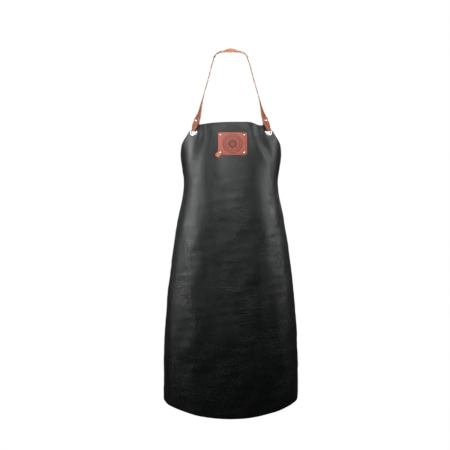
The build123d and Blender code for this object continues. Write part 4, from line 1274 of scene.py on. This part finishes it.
class APRON_OT_waist_straps(Operator):
    """Build both waist straps: the buckle's, and the one with the row of holes"""

    bl_idname = "apron.waist_straps"
    bl_label = "Waist straps"

    def execute(self, context):
        scene = context.scene
        form = WornForm(scene.apron_panel)
        straps, fittings = scene.apron_straps, scene.apron_fittings
        finishes = strap_finishes(scene.apron_finishes)
        corner_x = scene.apron_panel.waist_half - 0.022
        piece = self.buckle_side(form, straps, fittings, finishes, corner_x)
        finish_piece(piece, "waist_belt", "strap_leather", "waist_strap_left")
        piece = self.holes_side(form, straps, fittings, finishes, corner_x)
        finish_piece(piece, "waist_belt", "strap_leather", "waist_strap_right")
        return {"FINISHED"}

    def buckle_side(self, form, straps, fittings, finishes, corner_x):
        """The strap folded round the heel bar, where a slot lets the prong through."""
        bar_x, bar_y = heel_bar()
        fold = fittings.fold_radius
        inner = fold - straps.thickness - TOUCH_GAP
        loop, widths, _, _ = waist_loop(form, straps, fittings, -1)
        rest = [
            (-corner_x, bar_y + fold),
            (bar_x + fold, bar_y + fold),
            (bar_x + fold, bar_y - fold),
            (bar_x - 0.004, bar_y - fold),
            (bar_x - 0.011, bar_y + inner),
            (bar_x - 0.045, bar_y + inner),
        ]
        radii = [straps.corner, fold, fold, 0.004, 0.004]

        def slot(flat, distance):
            at_bar = distance[np.argmax(flat[:, 0])] + fold * math.pi / 4
            return [(at_bar, 0.0023, 0.0085)]

        return belt_piece("waist_strap_left_leather", straps, loop, widths, rest, radii, finishes, slot)

    def holes_side(self, form, straps, fittings, finishes, corner_x):
        """The strap that goes under the front bar and over the heel bar, with its row of holes."""
        bar_x, bar_y = heel_bar()
        front = bar_x + fittings.buckle_reach
        under = bar_y - fittings.bar_radius - straps.thickness / 2 - 0.0003
        loop, widths, _, _ = waist_loop(form, straps, fittings, 1)
        rest = [
            (corner_x, under),
            (front - 0.0005, under),
            (bar_x + 0.003, bar_y + straps.tail_lift),
            (bar_x - straps.tail, bar_y + straps.tail_lift),
        ]
        radii = [straps.corner, 0.007, 0.007]

        def row(flat, distance):
            run = flat[:, 0] < corner_x - straps.corner
            x, reached = flat[run, 0][::-1], distance[run][::-1]
            first = bar_x + fittings.buckle_reach / 2
            holes = [(first - straps.hole_pitch * step, straps.hole_radius, 0.0) for step in (1, 2, 3)]
            holes.append((bar_x + fittings.buckle_reach * 0.52, 0.0023, 0.0062))
            return [(np.interp(place, x, reached), radius, core) for place, radius, core in holes]

        return belt_piece("waist_strap_right_leather", straps, loop, widths, rest, radii, finishes, row)


class APRON_OT_keepers(Operator):
    """Build the fixed and the sliding keeper, each a closed leather band"""

    bl_idname = "apron.keepers"
    bl_label = "Keepers"

    def execute(self, context):
        scene = context.scene
        straps, fittings = scene.apron_straps, scene.apron_fittings
        finishes = strap_finishes(scene.apron_finishes)
        fold = fittings.fold_radius
        bands = {
            "fixed_keeper": (fold - 1.5 * straps.thickness - LAYER_GAP, "waist_belt"),
            "sliding_keeper": (fold - straps.thickness / 2, "keeper"),
        }
        for node, (inner_low, body) in bands.items():
            piece = self.band(node + "_leather", KEEPERS_X[node], inner_low, straps, finishes)
            finish_piece(piece, body, "strap_leather", node)
        return {"FINISHED"}

    def band(self, name, x, inner_low, straps, finishes):
        """A band whose middle line is a rectangle with round corners, in the plane across the belt."""
        bar_x, bar_y = heel_bar()
        low = inner_low - KEEPER_GAP - straps.keeper_thickness / 2
        high = straps.tail_lift + straps.thickness / 2 + KEEPER_GAP + straps.keeper_thickness / 2
        tall = straps.width / 2 + KEEPER_GAP + straps.keeper_thickness / 2
        outline = [(0, -tall), (high, -tall), (high, tall), (low, tall), (low, -tall), (0, -tall)]
        line = rounded_route(outline, [KEEPER_CORNER] * 4, math.radians(15))
        places, line, _ = respaced(line, np.zeros((len(line), 1)), 0.0006)
        line = line[:-1]
        share = np.linspace(-1, 1, 9)
        offset = share * straps.keeper_width / 2
        layers = np.broadcast_arrays(bar_x + x + offset[None], bar_y + line[:, :1], line[:, 1:])
        ring = np.stack(layers, axis=-1)
        coordinates = np.stack(np.broadcast_arrays(offset[None], places[:-1, None]), axis=-1)
        values = {
            "rim": np.broadcast_to(np.abs(share)[None], ring.shape[:2]),
            "dyed": np.zeros(ring.shape[:2]),
        }
        faces = quads(len(line), len(share), closed_rows=True)
        piece = put_mesh(name, in_belt(ring), faces, coordinates, values)
        give_thickness(piece, straps.keeper_thickness, 0.00025, finishes)
        return piece


# ---------------------------------------------------------------- metal

def arc_points(centre, radius, start, end, count):
    """Points of a circle's arc, from one angle in degrees to another."""
    angle = np.radians(np.linspace(start, end, count))
    return np.column_stack([centre[0] + radius * np.cos(angle), centre[1] + radius * np.sin(angle)])


class APRON_OT_grommets(Operator):
    """Build the four grommets with their rolled flanges, and finish their washers"""

    bl_idname = "apron.grommets"
    bl_label = "Grommets"

    def execute(self, context):
        scene = context.scene
        sizes, fittings = scene.apron_panel, scene.apron_fittings
        form = WornForm(sizes)
        nickel = nickel_finish(scene.apron_finishes)
        seats = {
            "neck": (fittings.neck_grommet_x, fittings.neck_grommet_drop),
            "waist": (waist_flat(form, fittings), sizes.waist_drop),
        }
        for zone, (flat, drop) in seats.items():
            for name, side in SIDES.items():
                middle, normal, _, _ = form.axes(side, flat, drop)
                piece = turned(f"{zone}_grommet_{name}_ring", self.profile(sizes, fittings), middle, normal,
                               fittings.round_steps, closed=True)
                piece.data.materials.append(nickel)
                finish_piece(piece, "apron", "nickel", f"{zone}_grommet_{name}")
                plate_nodes(nickel, f"{zone}_washer_{name}")
        return {"FINISHED"}

    def profile(self, sizes, fittings):
        """Eyelet section, anticlockwise: up the bore, over the crown, under the rolled rim, down the
        outside of the barrel and round its clinched tail."""
        top = sizes.thickness / 2
        bore = fittings.grommet_hole
        wall = bore + fittings.grommet_wall
        rim = fittings.grommet_flange
        crown = fittings.grommet_crown
        back = -top - 0.0006
        tail = back - (crown - 0.0006)
        span = (rim - bore) / 2
        angle = np.linspace(math.pi, 0, 17)
        over = np.column_stack([bore + span + span * np.cos(angle), top + crown * np.sin(angle) ** 0.8])
        points = [(bore, tail + 0.0002), (bore, 0.0)]
        points += over.tolist()
        points += [(rim - 0.0002, top - 0.00004), (wall + 0.0004, top - 0.00002), (wall, top - 0.0003),
                   (wall, back), (wall + 0.001, back), (wall + 0.0012, back - 0.0002),
                   (wall + 0.0008, tail), (bore + 0.0002, tail)]
        return points[::-1]


def domed(radius, height, foot):
    """Open profile of a shallow dome with a rolled rim on a shank that ends at the foot's height."""
    angle = np.linspace(math.pi / 2, 0.06, 14)
    dome = np.column_stack([radius * np.cos(angle), height * np.sin(angle) ** 0.85])
    under = [(radius * 0.97, 0.0), (radius * 0.45, 0.0), (radius * 0.42, -0.0001), (radius * 0.42, foot)]
    return np.vstack([dome, under, [(0, foot)]])


class APRON_OT_studs(Operator):
    """Build the four domed studs that close the loops, and finish their screws"""

    bl_idname = "apron.studs"
    bl_label = "Studs"

    def execute(self, context):
        scene = context.scene
        straps, fittings = scene.apron_straps, scene.apron_fittings
        form = WornForm(scene.apron_panel)
        nickel = nickel_finish(scene.apron_finishes)
        face = straps.closed_gap + straps.thickness
        for name, side in SIDES.items():
            bend, normal, along, _ = neck_loop_axes(form, straps, fittings, side)
            reach = loop_lengths(straps, neck_loop_edge(form, straps, fittings), 0)[1]
            _, _, spot, outwards = waist_loop(form, straps, fittings, side)
            _, axes = belt_axes()
            places = {"neck": (bend + along * reach, normal), "waist": (in_belt(spot), outwards @ axes)}
            for zone, (middle, facing) in places.items():
                profile = domed(fittings.stud_radius, fittings.stud_height, -2 * face + 0.0002)
                piece = turned(f"{zone}_stud_{name}_cap", profile, middle + facing * face, facing,
                               fittings.round_steps // 2, closed=False)
                piece.data.materials.append(nickel)
                body = "neck_strap" if zone == "neck" else "waist_belt"
                finish_piece(piece, body, "nickel", f"{zone}_stud_{name}")
                plate_nodes(nickel, f"{zone}_stud_screw_{name}")
        return {"FINISHED"}


class APRON_OT_rivets(Operator):
    """Build the patch's domed rivets and the belt's low ones, and finish the caps behind them"""

    bl_idname = "apron.rivets"
    bl_label = "Rivets"

    def execute(self, context):
        scene = context.scene
        sizes, fittings, straps = scene.apron_panel, scene.apron_fittings, scene.apron_straps
        form = WornForm(sizes)
        nickel = nickel_finish(scene.apron_finishes)
        caps = []
        for x, drop, holds_tag in rivet_spots(fittings):
            middle, normal, _, _ = form.axes(-1 if x < 0 else 1, abs(x), drop)
            face = sizes.thickness / 2 + fittings.patch_thickness + LAYER_GAP
            if holds_tag:
                face += fittings.patch_thickness + TOUCH_GAP
            profile = domed(fittings.rivet_radius, fittings.rivet_height, -face - sizes.thickness / 2)
            caps.append(turned("rivet", profile, middle + normal * face, normal, 32, closed=False))
        piece = joined("patch_rivet_domes", caps)
        piece.data.materials.append(nickel)
        finish_piece(piece, "apron", "nickel", "patch_rivet_caps")
        _, axes = belt_axes()
        bar_x, bar_y = heel_bar()
        outer = fittings.fold_radius + straps.thickness / 2
        heads = []
        for x in FOLD_RIVETS_X:
            middle = in_belt(np.array([bar_x + x, bar_y + outer, 0]))
            profile = domed(fittings.fold_rivet_radius, FOLD_RIVET_HEIGHT, -0.004)
            heads.append(turned("head", profile, middle, axes[1], 32, closed=False))
        piece = joined("fold_rivet_domes", heads)
        piece.data.materials.append(nickel)
        finish_piece(piece, "waist_belt", "nickel", "fold_rivet_heads")
        plate_nodes(nickel, "patch_rivet_backs", "fold_rivet_backs")
        return {"FINISHED"}


class APRON_OT_buckle(Operator):
    """Build the round-wire buckle and its prong"""

    bl_idname = "apron.buckle"
    bl_label = "Buckle"

    def execute(self, context):
        scene = context.scene
        fittings = scene.apron_fittings
        nickel = nickel_finish(scene.apron_finishes)
        bar_x, bar_y = heel_bar()
        _, axes = belt_axes()
        reach, half, corner = fittings.buckle_reach, fittings.buckle_half, fittings.buckle_corner
        outline = [(0, 0), (0, -half), (reach, -half), (reach, half), (0, half), (0, 0)]
        line = rounded_route(outline, [corner] * 4, math.radians(7))
        _, line, _ = respaced(line, np.zeros((len(line), 1)), 0.0006)
        line = line[:-1]
        wire = np.column_stack([bar_x + line[:, 0], np.full(len(line), bar_y), line[:, 1]])
        section = arc_points((0, 0), fittings.bar_radius, 0, 360, 25)[:-1]
        piece = carried("buckle_wire", section, in_belt(wire), axes[1], closed=True)
        piece.data.materials.append(nickel)
        finish_piece(piece, "waist_belt", "nickel", "buckle_frame")
        piece = self.prong(fittings, bar_x, bar_y, axes)
        piece.data.materials.append(nickel)
        finish_piece(piece, "prong", "nickel", "buckle_prong")
        return {"FINISHED"}

    def prong(self, fittings, bar_x, bar_y, axes):
        """Flat bar curled round the heel bar, whose arm lies on the front bar and tapers to its tip."""
        stock = 0.0012
        curl = fittings.bar_radius + 0.0001 + stock / 2
        front = fittings.buckle_reach
        rest = fittings.bar_radius + 0.00105
        eye = arc_points((0, 0), curl, -200, 62, 36)
        arm_x = np.linspace(curl * math.cos(math.radians(62)) + 0.0016, front + 0.0012, 30)
        share = (arm_x - arm_x[0]) / (arm_x[-1] - arm_x[0])
        arm_y = curl * 0.93 + (rest - curl * 0.93) * share + 0.0005 * np.sin(math.pi * share)
        line = np.vstack([eye, np.column_stack([arm_x, arm_y])])
        _, line, _ = respaced(line, np.zeros((len(line), 1)), 0.0004)
        line = softened(line, 4)
        route = np.column_stack([bar_x + line[:, 0], bar_y + line[:, 1], np.zeros(len(line))])
        angle = np.linspace(0, 2 * math.pi, 21)[:-1]
        power = 0.5
        sideways = 0.0015 * np.sign(np.cos(angle)) * np.abs(np.cos(angle)) ** power
        upright = stock / 2 * np.sign(np.sin(angle)) * np.abs(np.sin(angle)) ** power
        tip = np.linspace(0, 1, len(route))
        taper = (1 - 0.28 * ease(0.45, 1.0, tip)) * np.sqrt(1 - 0.8 * ease(0.97, 1.0, tip))
        section = np.column_stack([sideways, upright])
        return carried("buckle_prong_bar", section, in_belt(route), axes[2], closed=False, scale=taper)


# ---------------------------------------------------------------- stage

class APRON_OT_hang(Operator):
    bl_idname = "apron.hang"
    bl_label = "Hang the sheet"

    def execute(self, context):
        return {"FINISHED"}


def softbox(name, power, place, target, size, spread):
    """A rectangular area light that faces its target, with a grid that narrows its beam."""
    lamp = bpy.data.lights.new(name, "AREA")
    lamp.shape = "RECTANGLE"
    lamp.energy = power
    lamp.size, lamp.size_y = size
    lamp.spread = math.radians(spread)
    holder = bpy.data.objects.new(name, lamp)
    bpy.context.collection.objects.link(holder)
    aim(holder, place, target)


def aim(holder, place, target):
    """Puts an object at a place, its -Z axis towards the target."""
    holder.location = place
    holder.rotation_euler = (Vector(target) - Vector(place)).to_track_quat("-Z", "Y").to_euler()


class APRON_OT_stage(Operator):
    """Build the pale floor, the room's light, the softboxes and the camera"""

    bl_idname = "apron.stage"
    bl_label = "Stage"

    def execute(self, context):
        scene = context.scene
        stage = scene.apron_stage
        scene.view_settings.view_transform = "Standard"
        self.lay_floor(stage, scene.apron_finishes)
        self.light_room(scene, stage)
        softbox("left_softbox", stage.left_power, (-1.95, -0.5, 0.1), (0, -0.1, -0.12), (0.7, 1.2), 46)
        softbox("right_softbox", stage.right_power, (1.95, -0.45, 0.2), (0, -0.1, -0.1), (0.6, 1.1), 43)
        softbox("front_softbox", stage.front_power, (-0.2, -2.9, 0.75), (0, -0.1, -0.2), (1.6, 0.9), 33)
        softbox("nape_light", stage.nape_power, (0.0, -1.5, -0.75), (0, 0, 0.02), (0.3, 0.2), 14)
        softbox("back_softbox", stage.back_power, (0.2, 2.7, 0.4), (0, 0, -0.5), (1.6, 1.2), 80)
        lens = bpy.data.cameras.new("camera")
        lens.lens = stage.lens
        lens.sensor_width = 36
        camera = bpy.data.objects.new("camera", lens)
        scene.collection.objects.link(camera)
        front = -scene.apron_panel.body_depth - stage.camera_distance
        place = (stage.camera_x, front, stage.camera_height)
        aim(camera, place, (stage.camera_x, 0, stage.camera_height))
        scene.camera = camera
        return {"FINISHED"}

    def lay_floor(self, stage, finishes):
        """A wide pale disc under the hem."""
        level = FRAME_BOX[0][2] - stage.floor_gap
        angle = np.linspace(0, 2 * math.pi, FLOOR_SIDES + 1)[:-1]
        radius = np.array(FLOOR_RADII)[:, None]
        level_ring = np.full((len(radius), FLOOR_SIDES), level)
        points = np.stack([radius * np.cos(angle), radius * np.sin(angle), level_ring], axis=-1)
        middle = np.broadcast_to([0, 0, level], (1, FLOOR_SIDES, 3))
        points = np.concatenate([middle, points])
        floor = put_mesh("floor", points, quads(len(points), FLOOR_SIDES, closed_columns=True))
        weld = floor.modifiers.new("Middle", "WELD")
        weld.merge_threshold = 1e-6
        finish, tree = new_finish("pale_floor")
        place = add(tree, "ShaderNodeTexCoord").outputs["Object"]
        shade = graded(tree, noise(tree, place, 3.0, 3.0), 0.3, 0.7)
        dim = tuple(v * 0.985 for v in finishes.floor)
        colour = mixed(tree, shade, rgba(dim), rgba(finishes.floor))
        matt = add(tree, "ShaderNodeBsdfDiffuse", {"Color": colour})
        glow = add(tree, "ShaderNodeEmission", {"Color": rgba((1, 1, 1)), "Strength": 1.03})
        seen = add(tree, "ShaderNodeLightPath").outputs["Is Camera Ray"]
        inputs = {0: product(tree, seen, 0.97), 1: matt.outputs[0], 2: glow.outputs[0]}
        close_finish(tree, add(tree, "ShaderNodeMixShader", inputs))
        floor.data.materials.append(finish)

    def light_room(self, scene, stage):
        """A room that is lighter behind the apron, seen as a white background."""
        world = bpy.data.worlds.new("studio")
        scene.world = world
        world.use_nodes = True
        tree = world.node_tree
        tree.nodes.clear()
        direction = add(tree, "ShaderNodeTexCoord").outputs["Generated"]
        behind = add(tree, "ShaderNodeSeparateXYZ", {"Vector": direction}).outputs["Y"]
        glow = graded(tree, behind, 0.15, 0.9, stage.ambient, stage.room_back)
        soft = add(tree, "ShaderNodeBackground", {"Color": rgba((1, 1, 1)), "Strength": glow})
        white = add(tree, "ShaderNodeBackground", {"Color": rgba((1, 1, 1)), "Strength": 1.0})
        seen = add(tree, "ShaderNodeLightPath").outputs["Is Camera Ray"]
        mix = add(tree, "ShaderNodeMixShader", {0: seen, 1: soft.outputs[0], 2: white.outputs[0]})
        output = add(tree, "ShaderNodeOutputWorld")
        tree.links.new(mix.outputs[0], output.inputs["Surface"])


# ---------------------------------------------------------------- add-on

GROUPS = {
    "apron_panel": ApronPanelSizes,
    "apron_straps": ApronStrapSizes,
    "apron_fittings": ApronFittingSizes,
    "apron_finishes": ApronFinishes,
    "apron_stage": ApronStageSizes,
}
STEPS = (
    APRON_OT_panel,
    APRON_OT_name_patch,
    APRON_OT_corner_tag,
    APRON_OT_neck_strap,
    APRON_OT_waist_straps,
    APRON_OT_keepers,
    APRON_OT_grommets,
    APRON_OT_studs,
    APRON_OT_rivets,
    APRON_OT_buckle,
    APRON_OT_hang,
    APRON_OT_stage,
)


class APRON_PT_sidebar(Panel):
    """Lists the apron's pieces in the 3D view's sidebar"""

    bl_idname = "APRON_PT_sidebar"
    bl_label = "Leather Bib Apron"
    bl_space_type = "VIEW_3D"
    bl_region_type = "UI"
    bl_category = "Apron"

    def draw(self, context):
        for step in STEPS:
            self.layout.operator(step.bl_idname)
        for name, group in GROUPS.items():
            box = self.layout.box()
            for value in group.__annotations__:
                box.prop(getattr(context.scene, name), value)


def register():
    """Registers the sizes, the operators and the sidebar."""
    for name, group in GROUPS.items():
        bpy.utils.register_class(group)
        setattr(bpy.types.Scene, name, PointerProperty(type=group))
    for step in STEPS:
        bpy.utils.register_class(step)
    bpy.utils.register_class(APRON_PT_sidebar)


def unregister():
    """Takes away what register added."""
    bpy.utils.unregister_class(APRON_PT_sidebar)
    for step in reversed(STEPS):
        bpy.utils.unregister_class(step)
    for name, group in GROUPS.items():
        delattr(bpy.types.Scene, name)
        bpy.utils.unregister_class(group)


def main():
    register()
    for step in STEPS:
        zone, title = step.bl_idname.split(".")
        getattr(getattr(bpy.ops, zone), title)()


if __name__ == "__main__":
    main()
